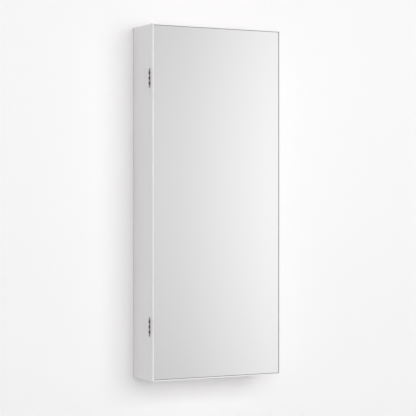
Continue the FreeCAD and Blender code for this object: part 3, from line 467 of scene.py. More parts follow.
def orange_peel_group() -> bpy.types.NodeTree:
    """Sprayed lacquer: long low waves and a finer ripple over them.

    Returns:
        The group.
    """
    group, sheet, given, out = new_group(
        Effect.ORANGE_PEEL,
        {"Ripple Scale": ("Float", 900.0), "Depth": ("Float", 0.01 * MM)},
        {"Normal": "Vector"},
    )
    here = sheet.here()
    waves = sheet.maths("MULTIPLY", sheet.noise(here, 45.0), 3.0)
    height = sheet.maths("ADD", sheet.noise(here, given["Ripple Scale"], 1.0), waves)
    sheet.give(out["Normal"], sheet.bump(height, given["Depth"]))
    return group


def tone_drift_group() -> bpy.types.NodeTree:
    """A colour that is a little lighter here and darker there.

    Returns:
        The group.
    """
    group, sheet, given, out = new_group(
        Effect.TONE_DRIFT,
        {"Colour": ("Color", (1.0, 1.0, 1.0, 1.0)), "Scale": ("Float", 6.0), "Amount": ("Float", 0.03)},
        {"Colour": "Color"},
    )
    drift = sheet.noise(sheet.here(), given["Scale"], 3.0)
    swing = sheet.maths("MULTIPLY", sheet.maths("SUBTRACT", drift, 0.5), given["Amount"])
    level = sheet.maths("ADD", sheet.maths("MULTIPLY", swing, 2.0), 1.0)
    sheet.give(out["Colour"], sheet.mix(1.0, given["Colour"], sheet.grey(level), "MULTIPLY"))
    return group


def drawn_lines_group() -> bpy.types.NodeTree:
    """Fine lines left by drawing or brushing, long along one axis.

    Returns:
        The group.
    """
    group, sheet, given, out = new_group(
        Effect.DRAWN_LINES,
        {"Stretch": ("Vector", (0.02, 1.0, 1.0)), "Scale": ("Float", 3000.0), "Depth": ("Float", 0.004 * MM)},
        {"Normal": "Vector", "Mask": "Float"},
    )
    lines = sheet.noise(sheet.stretched(given["Stretch"]), given["Scale"], 3.0)
    sheet.give(out["Normal"], sheet.bump(lines, given["Depth"]))
    sheet.give(out["Mask"], lines)
    return group


def rubbed_group() -> bpy.types.NodeTree:
    """Where hands and use have rubbed a patina thin: patches with ragged edges.

    Returns:
        The group.
    """
    group, sheet, given, out = new_group(
        Effect.RUBBED,
        {"Scale": ("Float", 300.0), "Cover": ("Float", 0.5)},
        {"Mask": "Float"},
    )
    patches = sheet.noise(sheet.here(), given["Scale"], 5.0, 0.65)
    above = sheet.maths("SUBTRACT", patches, sheet.maths("SUBTRACT", 1.0, given["Cover"]))
    sheet.give(out["Mask"], sheet.span(above, -0.06, 0.10, 0.0, 1.0))
    return group


def pile_group() -> bpy.types.NodeTree:
    """Velvet or felt: a fine upright pile in the normal, and a painted sheen in the colour, in broad strokes
    broken by fibre flecks.

    Returns:
        The group.
    """
    group, sheet, given, out = new_group(
        Effect.PILE,
        {"Colour": ("Color", (0.05, 0.05, 0.05, 1.0)), "Lift": ("Color", (0.1, 0.1, 0.1, 1.0)),
         "Fibre Scale": ("Float", 2600.0), "Depth": ("Float", 0.2 * MM)},
        {"Colour": "Color", "Normal": "Vector"},
    )
    here = sheet.here()
    slanted = sheet.stretched((1.0, 0.6, 0.45))
    # Painted sheen: broad strokes, broken by the fibres, mix the pile's colour towards its lift.
    strokes = sheet.span(sheet.noise(slanted, 34.0, 1.0, 0.4), 0.25, 0.75, 0.42, 0.58)
    fibres = sheet.noise(here, given["Fibre Scale"], 3.0)
    share = sheet.maths("MULTIPLY", strokes, sheet.span(fibres, 0.35, 0.65, 0.1, 1.5))
    sheet.give(out["Colour"], sheet.mix(share, given["Colour"], given["Lift"]))
    nap = sheet.bump(sheet.noise(here, 85.0), 0.5 * MM, 0.4)
    sheet.give(out["Normal"], sheet.bump(fibres, given["Depth"], 0.7, nap))
    return group


GROUP_MAKERS = {
    Effect.ORANGE_PEEL: orange_peel_group,
    Effect.TONE_DRIFT: tone_drift_group,
    Effect.DRAWN_LINES: drawn_lines_group,
    Effect.RUBBED: rubbed_group,
    Effect.PILE: pile_group,
}


def use(sheet: NodeSheet, effect: Effect, values: dict[str, Value]) -> Sockets:
    """Place a shared effect in a material, and build its group the first time.

    Args:
        sheet: The material's sheet.
        effect: Which effect.
        values: The group's inputs: plain values or outputs of other nodes.

    Returns:
        The outputs of the group's node.
    """
    group = bpy.data.node_groups.get(effect.value) or GROUP_MAKERS[effect]()
    return sheet.add("Group", values, node_tree=group).outputs


def principled(name: str, colour: Colour,
               roughness: float) -> tuple[bpy.types.Material, NodeSheet, bpy.types.Node]:
    """Start a material from its colour and how rough it is.

    Args:
        name: The material's name.
        colour: Its colour.
        roughness: How rough it is, from 0 to 1.

    Returns:
        The material, its sheet and its shader, which isn't linked to the output yet.
    """
    material = bpy.data.materials.new(name)
    material.use_nodes = True
    sheet = NodeSheet(material.node_tree)
    shader = sheet.add("BsdfPrincipled", {"Base Color": (*colour, 1.0), "Roughness": roughness})
    return material, sheet, shader


# ---- finishes ----


@dataclass(frozen=True)
class Finish:
    """What every finish has: its name, the record's slot, a colour and how rough it is."""

    name: str
    slot: str
    colour: Colour
    roughness: float

    def material(self) -> bpy.types.Material:
        """The finish as a material, made once.

        Returns:
            The material.
        """
        found = bpy.data.materials.get(self.name)
        if found is not None:
            return found
        made, sheet, shader = principled(self.name, self.colour, self.roughness)
        made.diffuse_color = (*self.colour, 1.0)
        sheet.add("OutputMaterial", {"Surface": shader.outputs[0]})
        self.detail(sheet, shader.inputs)
        return made

    def detail(self, sheet: NodeSheet, inputs: Sockets) -> None:
        """Add what this finish has beyond its colour and roughness.

        Args:
            sheet: The material's sheet.
            inputs: The inputs of its shader.
        """

    def drift(self, sheet: NodeSheet, scale: float, amount: float) -> Socket:
        """The finish's colour with a slight drift of tone."""
        values = {"Colour": (*self.colour, 1.0), "Scale": scale, "Amount": amount}
        return use(sheet, Effect.TONE_DRIFT, values)["Colour"]


@dataclass(frozen=True)
class Lacquer(Finish):
    """Sprayed satin lacquer on board."""

    peel_scale: float = 420.0
    peel_depth: float = 0.010 * MM
    drift_amount: float = 0.012
    dulling: float = 0.09

    def detail(self, sheet: NodeSheet, inputs: Sockets) -> None:
        """Orange peel, a slight drift of tone, and gloss that is lower where hands have been.

        Args:
            sheet: The material's sheet.
            inputs: The inputs of its shader.
        """
        peel = use(sheet, Effect.ORANGE_PEEL, {"Ripple Scale": self.peel_scale, "Depth": self.peel_depth})
        sheet.give(inputs["Normal"], peel["Normal"])
        sheet.give(inputs["Base Color"], self.drift(sheet, 5.0, self.drift_amount))
        handled = use(sheet, Effect.RUBBED, {"Scale": 9.0, "Cover": 0.45})["Mask"]
        dulled = sheet.span(handled, 0.0, 1.0, self.roughness, self.roughness + self.dulling)
        sheet.give(inputs["Roughness"], dulled)
        inputs["Coat Weight"].default_value = 0.25
        inputs["Coat Roughness"].default_value = 0.28


@dataclass(frozen=True)
class Metal(Finish):
    """Bare or plated metal with drawn lines along one axis, and a second tone where it is rubbed."""

    worn: Colour
    worn_roughness: float
    stretch: Point
    lines_depth: float
    rub_scale: float
    rub_cover: float

    def detail(self, sheet: NodeSheet, inputs: Sockets) -> None:
        """Drawn lines in the normal and the roughness, and rubbed patches in the colour.

        Args:
            sheet: The material's sheet.
            inputs: The inputs of its shader.
        """
        inputs["Metallic"].default_value = 1.0
        values = {"Stretch": self.stretch, "Scale": 2400.0, "Depth": self.lines_depth}
        lines = use(sheet, Effect.DRAWN_LINES, values)
        sheet.give(inputs["Normal"], lines["Normal"])
        rubbed = use(sheet, Effect.RUBBED, {"Scale": self.rub_scale, "Cover": self.rub_cover})["Mask"]
        sheet.give(inputs["Base Color"], sheet.mix(rubbed, self.colour, self.worn))
        streaks = sheet.span(lines["Mask"], 0.3, 0.7, -0.05, 0.05)
        base = sheet.span(rubbed, 0.0, 1.0, self.roughness, self.worn_roughness)
        sheet.give(inputs["Roughness"], sheet.maths("ADD", base, streaks, clamp=True))


@dataclass(frozen=True)
class Pile(Finish):
    """Velvet or felt, whose colour is lightened towards its lift in broad strokes and fibre flecks: a painted
    sheen.
    """

    # The lighter colour of the painted sheen.
    lift: Colour
    fibre_scale: float
    depth: float
    sheen: float
    sheen_tint: Colour

    def detail(self, sheet: NodeSheet, inputs: Sockets) -> None:
        """A painted sheen in the colour, pile in the normal, and the shader's own sheen at glancing angles.

        Args:
            sheet: The material's sheet.
            inputs: The inputs of its shader.
        """
        pile = use(sheet, Effect.PILE, {"Colour": (*self.colour, 1.0), "Lift": (*self.lift, 1.0),
                                        "Fibre Scale": self.fibre_scale, "Depth": self.depth})
        sheet.give(inputs["Base Color"], pile["Colour"])
        sheet.give(inputs["Normal"], pile["Normal"])
        inputs["Sheen Weight"].default_value = self.sheen
        inputs["Sheen Roughness"].default_value = 0.35
        inputs["Sheen Tint"].default_value = (*self.sheen_tint, 1.0)
        inputs["Specular IOR Level"].default_value = 0.15


@dataclass(frozen=True)
class Mirror(Finish):
    """Silvered float glass: a clean mirror with the faintest haze where it was wiped."""

    haze: float = 0.02

    def detail(self, sheet: NodeSheet, inputs: Sockets) -> None:
        """Wipe marks that only change the roughness.

        Args:
            sheet: The material's sheet.
            inputs: The inputs of its shader.
        """
        inputs["Metallic"].default_value = 1.0
        marks = sheet.noise(sheet.stretched((1.0, 1.0, 0.35)), 7.0, 4.0, 0.6)
        hazy = sheet.span(marks, 0.45, 0.75, self.roughness, self.roughness + self.haze)
        sheet.give(inputs["Roughness"], hazy)


@dataclass(frozen=True)
class Moulded(Finish):
    """Moulded plastic, rubber or foam, with the fine texture of its mould or skin."""

    grain_scale: float
    grain_depth: float
    clear: float = 0.0

    def detail(self, sheet: NodeSheet, inputs: Sockets) -> None:
        """A grain in the normal and a slight drift of tone.

        Args:
            sheet: The material's sheet.
            inputs: The inputs of its shader.
        """
        grain = sheet.noise(sheet.here(), self.grain_scale, 3.0, 0.6)
        sheet.give(inputs["Normal"], sheet.bump(grain, self.grain_depth))
        sheet.give(inputs["Base Color"], self.drift(sheet, 60.0, 0.08))
        inputs["Transmission Weight"].default_value = self.clear


@dataclass(frozen=True)
class Wood(Finish):
    """Plain beech: short dark rays on a pinkish ground, along one axis."""

    ray: Colour

    def detail(self, sheet: NodeSheet, inputs: Sockets) -> None:
        """Rays and grain along X, in the colour and the normal.

        Args:
            sheet: The material's sheet.
            inputs: The inputs of its shader.
        """
        grain = sheet.noise(sheet.stretched((0.12, 1.0, 1.0)), 900.0, 4.0, 0.6)
        rays = sheet.span(grain, 0.45, 0.65, 0.0, 1.0)
        sheet.give(inputs["Base Color"], sheet.mix(rays, self.colour, self.ray))
        sheet.give(inputs["Normal"], sheet.bump(rays, 0.02 * MM))


# How drawn lines lie: long along X, long along Z, or even.
ALONG_X = (0.02, 1.0, 1.0)
ALONG_Z = (1.0, 1.0, 0.05)
EVEN = (1.0, 1.0, 1.0)

LACQUER = Lacquer("satin_lacquer", "lacquer", (0.885, 0.878, 0.882), 0.36)
BEECH = Wood("plain_beech", "beech", (0.62, 0.44, 0.28), 0.55, ray=(0.42, 0.26, 0.15))
# Each pile's lift is the colour of its painted sheen.
VELVET = Pile("lining_velvet", "velvet", (0.030, 0.030, 0.034), 0.92, lift=(0.088, 0.087, 0.097),
              fibre_scale=2600.0, depth=0.20 * MM, sheen=0.60, sheen_tint=(0.62, 0.62, 0.68))
PLUSH = Pile("cushion_velvet", "velvet", (0.105, 0.103, 0.110), 0.92, lift=(0.205, 0.202, 0.215),
             fibre_scale=2300.0, depth=0.25 * MM, sheen=0.70, sheen_tint=(0.78, 0.78, 0.82))
FELT = Pile("bumper_felt", "felt", (0.55, 0.55, 0.53), 0.95, lift=(0.68, 0.68, 0.66),
            fibre_scale=1500.0, depth=0.25 * MM, sheen=0.2, sheen_tint=(0.9, 0.9, 0.9))
BRASS = Metal("satin_brass", "brass", (0.72, 0.53, 0.27), 0.26, worn=(0.82, 0.64, 0.36), worn_roughness=0.20,
              stretch=ALONG_X, lines_depth=0.003 * MM, rub_scale=60.0, rub_cover=0.45)
# The hinges get two copies of one bronze. This lighter one, on the case's knuckles, is a painted highlight;
# the near-black one below, on the door's, is painted shade. The knuckles alternate light and dark.
BRONZE = Metal("lit_rubbed_bronze", "bronze", (0.50, 0.42, 0.335), 0.40, worn=(0.60, 0.52, 0.43),
               worn_roughness=0.32, stretch=ALONG_Z, lines_depth=0.005 * MM, rub_scale=650.0, rub_cover=0.46)
# Painted shade: a near-black copy of the bronze above, for the door's knuckles, leaves and screws.
PAINTED_SHADE_BRONZE = Metal("painted_shade_bronze", "bronze", (0.042, 0.033, 0.026), 0.46, worn=(0.080, 0.064, 0.050),
                    worn_roughness=0.38, stretch=ALONG_Z, lines_depth=0.005 * MM, rub_scale=650.0,
                    rub_cover=0.44)
ALUMINIUM = Metal("drawn_aluminium", "aluminium", (0.80, 0.80, 0.81), 0.34, worn=(0.88, 0.88, 0.89),
                  worn_roughness=0.28, stretch=(0.01, 1.0, 1.0), lines_depth=0.006 * MM, rub_scale=40.0,
                  rub_cover=0.4)
ZINC = Metal("zinc_plate", "zinc_steel", (0.62, 0.63, 0.65), 0.32, worn=(0.74, 0.74, 0.73),
             worn_roughness=0.24, stretch=EVEN, lines_depth=0.003 * MM, rub_scale=500.0, rub_cover=0.5)
FERRITE = Moulded("magnet_ferrite", "ferrite", (0.055, 0.055, 0.058), 0.60, grain_scale=1800.0,
                  grain_depth=0.02 * MM)
CATCH_PLASTIC = Moulded("white_nylon", "catch_plastic", (0.80, 0.80, 0.78), 0.48, grain_scale=1600.0,
                        grain_depth=0.008 * MM)
MIRROR = Mirror("silvered_glass", "mirror", (0.945, 0.935, 0.94), 0.012)
FILM = Moulded("backing_film", "film", (0.20, 0.21, 0.22), 0.50, grain_scale=300.0, grain_depth=0.01 * MM)
FOAM_TAPE = Moulded("black_foam", "foam_tape", (0.020, 0.020, 0.021), 0.85, grain_scale=2500.0,
                    grain_depth=0.10 * MM)
SEAL = Moulded("dark_seal", "seal", (0.055, 0.055, 0.057), 0.55, grain_scale=1500.0, grain_depth=0.02 * MM)
CLEAR_RUBBER = Moulded("clear_silicone", "clear_rubber", (0.86, 0.87, 0.86), 0.22, grain_scale=900.0,
                       grain_depth=0.01 * MM, clear=0.7)


# ---- sub-assemblies ----


def dress(finish: Finish, *names: str) -> None:
    """Give solids that stay their finish.

    Args:
        finish: The finish.
        names: The nodes that get it.
    """
    for name in names:
        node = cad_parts[name]
        material = finish.material()
        if node.material_slots:
            node.material_slots[0].material = material
        else:
            node.data.materials.append(material)
        LOG.info("%s: solid kept, %s", name, finish.slot)


@dataclass
class SubAssembly:
    """Pieces that ride on one body."""

    body: str

    def place(self, name: str, surface: Surface, finish: Finish, *stands_for: str) -> bpy.types.Object:
        """Make a new piece, dress it and fasten it to the body.

        Args:
            name: The piece's name.
            surface: Its surface.
            finish: Its finish.
            stands_for: The nodes that it takes the place of.

        Returns:
            The piece.
        """
        piece = mesh_object(name, surface)
        piece.data.materials.append(finish.material())
        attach(piece, self.body)
        if stands_for:
            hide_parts(*stands_for)
        LOG.info("%s: %d points, %s", name, len(surface[0]), finish.slot)
        return piece


@dataclass(frozen=True)
class ScrewForm:
    """What one screw measures: where its face is, which way it points, its head and its shank."""

    seat: np.ndarray
    axis: Axis
    sign: int
    head_radius: float
    head_height: float
    shank_radius: float
    length: float
    is_pan: bool


# The side of a screw's head, from its face down, as shares of its radius and of its height.
PAN_SIDE = np.array([[0.94, 0.36], [0.985, 0.5], [1.0, 0.68], [1.0, 0.97], [0.98, 1.0]])
FLAT_SIDE = np.array([[1.0, 0.0], [1.0, 0.04]])


@dataclass
class Screws(SubAssembly):
    """All the screws of one node: a head with a cross recess on a threaded shank.

    The recess's reach, bar and depth are shares of the head's radius, and the dome is a share of a pan head's
    height. The thread's depth, the point's length and the tip are shares of the shank's radius.
    """

    node: str
    finish: Finish
    pitch: float = 1.1 * MM
    thread: float = 0.12
    recess: float = 0.62
    recess_bar: float = 0.15
    recess_depth: float = 0.42
    dome: float = 0.30
    neck: float = 0.4 * MM
    point: float = 0.8
    tip: float = 0.25
    around: int = 40

    def build(self) -> None:
        """Rebuild each screw where its solid is."""
        made = [self.surface(self.form(*solid)) for solid in solids_of(self.node)]
        self.place(f"{self.node}_cut", joined(made), self.finish, self.node)

    def form(self, cloud: np.ndarray, low: np.ndarray, high: np.ndarray) -> ScrewForm:
        """Measure one screw.

        Its length lies along the solid's longest side, and its head is at the end with the larger radius. The
        widest points of a pan head lie at more than one height, and those of a countersunk one at its face.

        Args:
            cloud: The points of its solid.
            low: Their lowest corner.
            high: Their highest corner.

        Returns:
            The screw's form.
        """
        axis = int(np.argmax(high - low))
        centre = (low + high) / 2
        across = [k for k in range(3) if k != axis]
        radial = np.linalg.norm((cloud - centre)[:, across], axis=1)
        head_radius = radial.max()
        widest = cloud[radial > head_radius * 0.98, axis]
        sign = 1 if widest.mean() < centre[axis] else -1
        seat = centre.copy()
        seat[axis] = low[axis] if sign > 0 else high[axis]
        length = high[axis] - low[axis]
        at_tip = np.abs(cloud[:, axis] - (seat[axis] + sign * length)) < 0.1 * MM
        shank_radius = radial[at_tip].max()
        is_pan = np.ptp(widest) > 0.5 * MM
        head_height = np.ptp(widest) if is_pan else head_radius - shank_radius
        return ScrewForm(seat, Axis(axis), sign, head_radius, head_height, shank_radius, length, is_pan)

    def surface(self, form: ScrewForm) -> Surface:
        """The screw's skin, in rings from the middle of its face to its point.

        On the face a ring sinks by the cross recess: depth * a * b, where a falls from 1 to 0 between 0.6 and
        1.6 bars away from the nearer arm of the cross, and b falls from 1 to 0 over the outer third of the
        recess. On the shank the radius is the shank's times 1 - thread * (1 - |1 - 2 * frac(s)|), where s is
        along / pitch less the share of a full turn, so that it winds as a helix.

        Args:
            form: What the screw measures.

        Returns:
            The closed surface.
        """
        angle = np.linspace(0, 2 * math.pi, self.around, endpoint=False)
        recess, bar, deep = (form.head_radius * share for share in (self.recess, self.recess_bar,
                                                                    self.recess_depth))
        dome = form.head_height * self.dome if form.is_pan else 0.0
        reach = np.linspace(0.12, 1.0, 9)[:, None] * form.head_radius * (0.86 if form.is_pan else 0.97)
        offset = np.minimum(np.abs(reach * np.cos(angle)), np.abs(reach * np.sin(angle)))
        inside = np.clip(1.6 - offset / bar, 0, 1) * np.clip((recess - reach) / recess * 3.2, 0, 1)
        face = dome * (reach / form.head_radius) ** 2 + deep * inside
        side = PAN_SIDE if form.is_pan else FLAT_SIDE
        start = form.head_height + self.neck
        turns = max(3, round((form.length - start) / self.pitch))
        along = np.linspace(start, form.length - form.shank_radius * self.point, turns * 6)[:, None]
        wave = np.abs(1 - 2 * np.mod(along / self.pitch - angle / (2 * math.pi), 1.0))
        bands = (
            (reach, face),
            (side[:, :1] * form.head_radius, side[:, 1:] * form.head_height),
            (form.shank_radius, form.head_height),
            (form.shank_radius * (1 - self.thread * (1 - wave)), along),
            (form.shank_radius * self.tip, form.length - 0.05 * MM),
        )
        rows = [np.broadcast_arrays(radius, depth, angle[None])[:2] for radius, depth in bands]
        radius, depth = (np.concatenate([row[part] for row in rows]) for part in (0, 1))
        ahead, across, beside = basis(form.axis, form.sign)
        spokes = np.cos(angle)[:, None] * across + np.sin(angle)[:, None] * beside
        points = form.seat + depth[..., None] * ahead + radius[..., None] * spokes[None]
        return capped_tube(points, form.seat + ahead * deep, form.seat + ahead * form.length)


@dataclass
class WallBar(SubAssembly):
    """The bar on the wall, which carries everything."""

    def build(self) -> None:
        """Finish the bar."""
        dress(ALUMINIUM, "wall_z_bar")


@dataclass
class Case(SubAssembly):
    """The box: boards, back, its hanging bar and the felt bumpers."""

    bumper_round: float = 0.7 * MM
    bumper_gap: float = 3 * MM

    def build(self) -> None:
        """Finish the boards and make the bumpers."""
        dress(LACQUER, "case_side_left", "case_side_right", "case_top", "case_bottom", "case_back_board")
        dress(BEECH, "corner_dowels")
        dress(ALUMINIUM, "case_z_bar")
        dress(VELVET, "back_lining")
        Screws(self.body, "z_bar_screws", ZINC).build()
        for index, (_, low, high) in enumerate(solids_of("wall_bumpers", self.bumper_gap), start=1):
            self.place(f"wall_bumper_{index}", self.bumper(low, high), FELT, "wall_bumpers")

    def bumper(self, low: np.ndarray, high: np.ndarray) -> Surface:
        """A felt disc with soft edges: a flat, an arc, a side, an arc and a flat, turned about Y.

        Args:
            low: Its lowest corner.
            high: Its highest corner.

        Returns:
            The closed surface.
        """
        radius = (high[0] - low[0]) / 2
        thick = high[1] - low[1]
        soft = self.bumper_round
        profile = np.concatenate([
            [[0, 0], [radius * 0.5, 0]],
            arc((radius - soft, soft), soft, -90, 0, 6),
            arc((radius - soft, thick - soft), soft, 0, 90, 6),
            [[radius * 0.5, thick], [0, thick]],
        ])
        middle = (low + high) / 2
        return turned(profile, (middle[0], low[1], middle[2]), Axis.Y)


@dataclass
class Necklaces(SubAssembly):
    """The rail and its turned pegs. A peg's parts are given by their radii and their lengths."""

    spigot: float = 4.0 * MM
    spigot_length: float = 10.0 * MM
    stem: float = 3.2 * MM
    waist: float = 2.5 * MM
    collar: float = 5.0 * MM
    collar_width: float = 2.2 * MM
    collar_round: float = 0.8 * MM
    head_length: float = 6.0 * MM
    lip: float = 0.8 * MM
    chamfer: float = 0.5 * MM
    around: int = 40

    def build(self) -> None:
        """Finish the rail and turn the pegs."""
        dress(LACQUER, "necklace_rail")
        for index, (_, low, high) in enumerate(solids_of("necklace_pegs"), start=1):
            self.place(f"necklace_peg_{index}", self.peg(low, high), BRASS, "necklace_pegs")

    def peg(self, low: np.ndarray, high: np.ndarray) -> Surface:
        """A peg turned about Y: spigot, collar, a stem that narrows to a waist, and a domed head.

        The stem's radius is waist + (stem - waist) * (2 s - 1)^2 for s from 0 to 1 along it, and the dome is
        a quarter of an ellipse.

        Args:
            low: Its lowest corner.
            high: Its highest corner.

        Returns:
            The closed surface.
        """
        middle = (low + high) / 2
        length = high[1] - low[1]
        head_radius = (high[0] - low[0]) / 2
        face = self.spigot_length
        front = face + self.collar_width
        neck = length - self.head_length
        soft = self.collar_round
        lip = self.lip
        share = np.linspace(0, 1, 14)
        shaft = np.stack([self.waist + (self.stem - self.waist) * (2 * share - 1) ** 2,
                          front + (neck - front) * share], -1)
        dome = np.radians(np.linspace(8, 90, 12))
        crown = np.stack([head_radius * np.cos(dome),
                          neck + lip * 2 + (self.head_length - lip * 2) * np.sin(dome)], -1)
        profile = np.concatenate([
            [[0, 0], [self.spigot * 0.8, 0], [self.spigot, self.chamfer], [self.spigot, face - 0.05 * MM]],
            arc((self.collar - soft, face + soft), soft, -90, 0, 5),
            arc((self.collar - soft, front - soft), soft, 0, 90, 5),
            shaft,
            [[head_radius * 0.72, neck + 0.15 * MM]],
            arc((head_radius - lip, neck + lip), lip, -90, 0, 5),
            crown,
            [[0, length]],
        ])
        profile[-2] = 0.02 * MM, length
        return turned(profile, (middle[0], high[1], middle[2]), Axis.Y, -1, self.around)


def pad_block(low: np.ndarray, high: np.ndarray, radius: float, crown: float,
              steps: tuple[int, int, int]) -> Surface:
    """A thin pad: a rounded block whose upper face is crowned.

    The crown adds crown * (1 - u^4)(1 - v^4) * w along Z, where u and v run from -1 to 1 across the face, and
    w from 0 at the glued face to 1 at the free one.

    Args:
        low: Lowest corner.
        high: Highest corner, without the crown.
        radius: Radius of the edges.
        crown: How far the middle stands up.
        steps: Divisions of the flat stretch along each axis.

    Returns:
        The closed surface.
    """
    points, faces = rounded_block(low, high, radius, steps)
    unit = (points - (low + high) / 2) / ((high - low) / 2)
    swell = (1 - unit[:, 0] ** 4) * (1 - unit[:, 1] ** 4)
    share = np.clip((unit[:, 2] + 1) / 2, 0, 1)
    points[:, 2] += crown * np.clip(swell, 0, 1) * share
    return points, faces


@dataclass
class Shelves(SubAssembly):
    """Two shelves on pins, their pads and their brass galleries."""

    pad_thick: float = 1.5 * MM
    pad_round: float = 0.45 * MM
    pad_crown: float = 0.3 * MM

    def build(self) -> None:
        """Finish the boards and the brass, and lay the pads."""
        dress(LACQUER, "shelf_upper", "shelf_lower")
        dress(BRASS, "shelf_pins", "gallery_rods", "gallery_posts")
        low, high = corners_of("shelf_pads")
        for name in ("lower", "upper"):
            top = corners_of(f"shelf_{name}")[1][2]
            low[2] = top
            high[2] = top + self.pad_thick - self.pad_crown
            pad = pad_block(low, high, self.pad_round, self.pad_crown, (60, 10, 1))
            self.place(f"shelf_pad_{name}", pad, VELVET, "shelf_pads")


@dataclass
class Bins(SubAssembly):
    """The three bins at the bottom."""

    board: float = 4 * MM
    play: float = 0.5 * MM
    pad_round: float = 0.45 * MM
    pad_crown: float = 0.3 * MM

    def build(self) -> None:
        """Finish the boards and lay a pad in each bin."""
        dress(LACQUER, "bin_dividers", "bin_front")
        low, high = corners_of("bin_pads")
        left, right = (corner[0] for corner in corners_of("bin_dividers"))
        starts = (low[0], left + self.board + self.play, right + self.play)
        ends = (left - self.play, right - self.board - self.play, high[0])
        high[2] -= self.pad_crown
        for name, start, end in zip(("left", "middle", "right"), starts, ends):
            low[0] = start
            high[0] = end
            pad = pad_block(low, high, self.pad_round, self.pad_crown, (24, 12, 1))
            self.place(f"bin_pad_{name}", pad, VELVET, "bin_pads")


@dataclass
class RingTray(SubAssembly):
    """The ring tray and its padded rolls."""

    count: int = 6
    wall: float = 4 * MM
    end_round: float = 3.0 * MM
    back_round: float = 1.6 * MM
    waver: float = 0.25 * MM
    waver_rates: tuple[float, float] = (95.0, 41.0)

    def build(self) -> None:
        """Finish the tray and fill it with rolls."""
        dress(LACQUER, "ring_tray")
        Screws(self.body, "ring_tray_screws", ZINC, 0.9 * MM).build()
        low, high = corners_of("ring_rolls")
        tray_low, tray_high = corners_of("ring_tray")
        pitch = (tray_high[2] - tray_low[2] - 2 * self.wall) / self.count
        radius = (high[2] - low[2] - pitch * (self.count - 1)) / 2
        for index in range(self.count):
            height = low[2] + radius + pitch * index
            roll = self.roll(low, high, height, radius, index)
            self.place(f"ring_roll_{index + 1}", roll, PLUSH, "ring_rolls")

    def section(self, depth: float, radius: float) -> np.ndarray:
        """A roll's outline across: a half circle for its nose, flat sides, and a back with round corners.

        Args:
            depth: From the nose's tip to the back.
            radius: Half the roll's height.

        Returns:
            Rows of (y, z) about the middle of the nose, anticlockwise seen from +X.
        """
        corner = self.back_round
        back = depth - radius
        side = np.linspace(0.1, 0.9, 6)[:, None] * (back - corner)
        return np.concatenate([
            arc((0.0, 0.0), radius, 90, 270, 25),
            np.concatenate([side, np.full_like(side, -radius)], -1),
            arc((back - corner, -radius + corner), corner, -90, 0, 5),
            arc((back - corner, radius - corner), corner, 0, 90, 5),
            np.concatenate([side[::-1], np.full_like(side, radius)], -1),
        ])

    def roll(self, low: np.ndarray, high: np.ndarray, height: float, radius: float, index: int) -> Surface:
        """One roll: its section carried along X, drawn in at the ends, with a slow waver of its thickness.

        The scale is 1 - waver / radius * (0.5 + 0.5 * sin(rate1 * x + 1.7 * index) * sin(rate2 * x + index)).

        Args:
            low: Lowest corner of all the rolls.
            high: Highest corner of all the rolls.
            height: Where the roll's middle is on Z.
            radius: Half the roll's height.
            index: Which roll it is, from 0.

        Returns:
            The closed surface.
        """
        left, right = low[0], high[0]
        rise = np.radians(np.linspace(0, 90, 8))
        start = np.stack([left + self.end_round * (1 - np.cos(rise)), 0.72 + 0.28 * np.sin(rise)], -1)
        start = np.concatenate([[[left, 0.0], [left, 0.40]], start])
        span = np.linspace(left + self.end_round, right - self.end_round, 70)[1:-1]
        fast, slow = self.waver_rates
        wave = np.sin(span * fast + index * 1.7) * np.sin(span * slow + index)
        body = np.stack([span, 1 - self.waver / radius * (0.5 + 0.5 * wave)], -1)
        end = start[::-1].copy()
        end[:, 0] = left + right - end[:, 0]
        stations = np.concatenate([start, body, end])
        return swept(self.section(high[1] - low[1], radius), stations, (low[1] + radius, height))


@dataclass
class Bracelets(SubAssembly):
    """The padded bracelet bar between its sockets."""

    end_round: float = 2.5 * MM
    slack: float = 0.12 * MM
    ripple: float = 0.06 * MM
    ripple_rates: tuple[float, float] = (610.0, 433.0)
    around: int = 56

    def build(self) -> None:
        """Finish the sockets and wrap the bar."""
        dress(BRASS, "bracelet_sockets")
        Screws(self.body, "bracelet_socket_screws", ZINC).build()
        bar = self.wrapped()
        self.place("bracelet_bar_wrapped", bar, PLUSH, "bracelet_bar")

    def wrapped(self) -> Surface:
        """The bar in its sleeve, turned about X, with round ends and a faint ripple that dies out at them.

        At s along it the ripple is ripple * (sin(rate1 * s) + sin(rate2 * s + 1)) * sin(pi * s / length).

        Returns:
            The closed surface.
        """
        low, high = corners_of("bracelet_bar")
        radius = (high[2] - low[2]) / 2
        middle = (low + high) / 2
        length = high[0] - low[0]
        soft = self.end_round
        rise = np.radians(np.linspace(0, 90, 7))
        start = np.stack([radius - soft * (1 - np.sin(rise)), soft * (1 - np.cos(rise))], -1)
        span = np.linspace(soft, length - soft, 120)[1:-1]
        fast, slow = self.ripple_rates
        wave = (np.sin(span * fast) + np.sin(span * slow + 1.0)) * np.sin(span / length * math.pi)
        body = np.stack([radius - self.slack + self.ripple * wave, span], -1)
        end = start[::-1].copy()
        end[:, 1] = length - end[:, 1]
        profile = np.concatenate([[[0, 0]], start, body, end, [[0, length]]])
        return turned(profile, (low[0], middle[1], middle[2]), Axis.X, 1, self.around)


@dataclass
class Catch(SubAssembly):
    """The magnetic catch on the right side."""

    def build(self) -> None:
        """Finish the block, magnet and poles."""
        dress(CATCH_PLASTIC, "catch_body")
        dress(FERRITE, "catch_magnet")
        dress(ZINC, "catch_poles")
        Screws(self.body, "catch_screws", ZINC, 1.0 * MM).build()


@dataclass
class Hinges(SubAssembly):
    """What the hinges have on one body: leaves and screws, and on the case the pins too."""

    # The lighter, painted-highlight copy of the bronze or the near-black painted-shade copy.
    finish: Finish

    def build(self) -> None:
        """Finish the leaves and cut the screws."""
        dress(self.finish, f"hinge_{self.body}_leaf_upper", f"hinge_{self.body}_leaf_lower")
        if self.body == "case":
            dress(self.finish, "hinge_pin_upper", "hinge_pin_lower")
        Screws(self.body, f"hinge_{self.body}_screws", self.finish, 0.9 * MM).build()


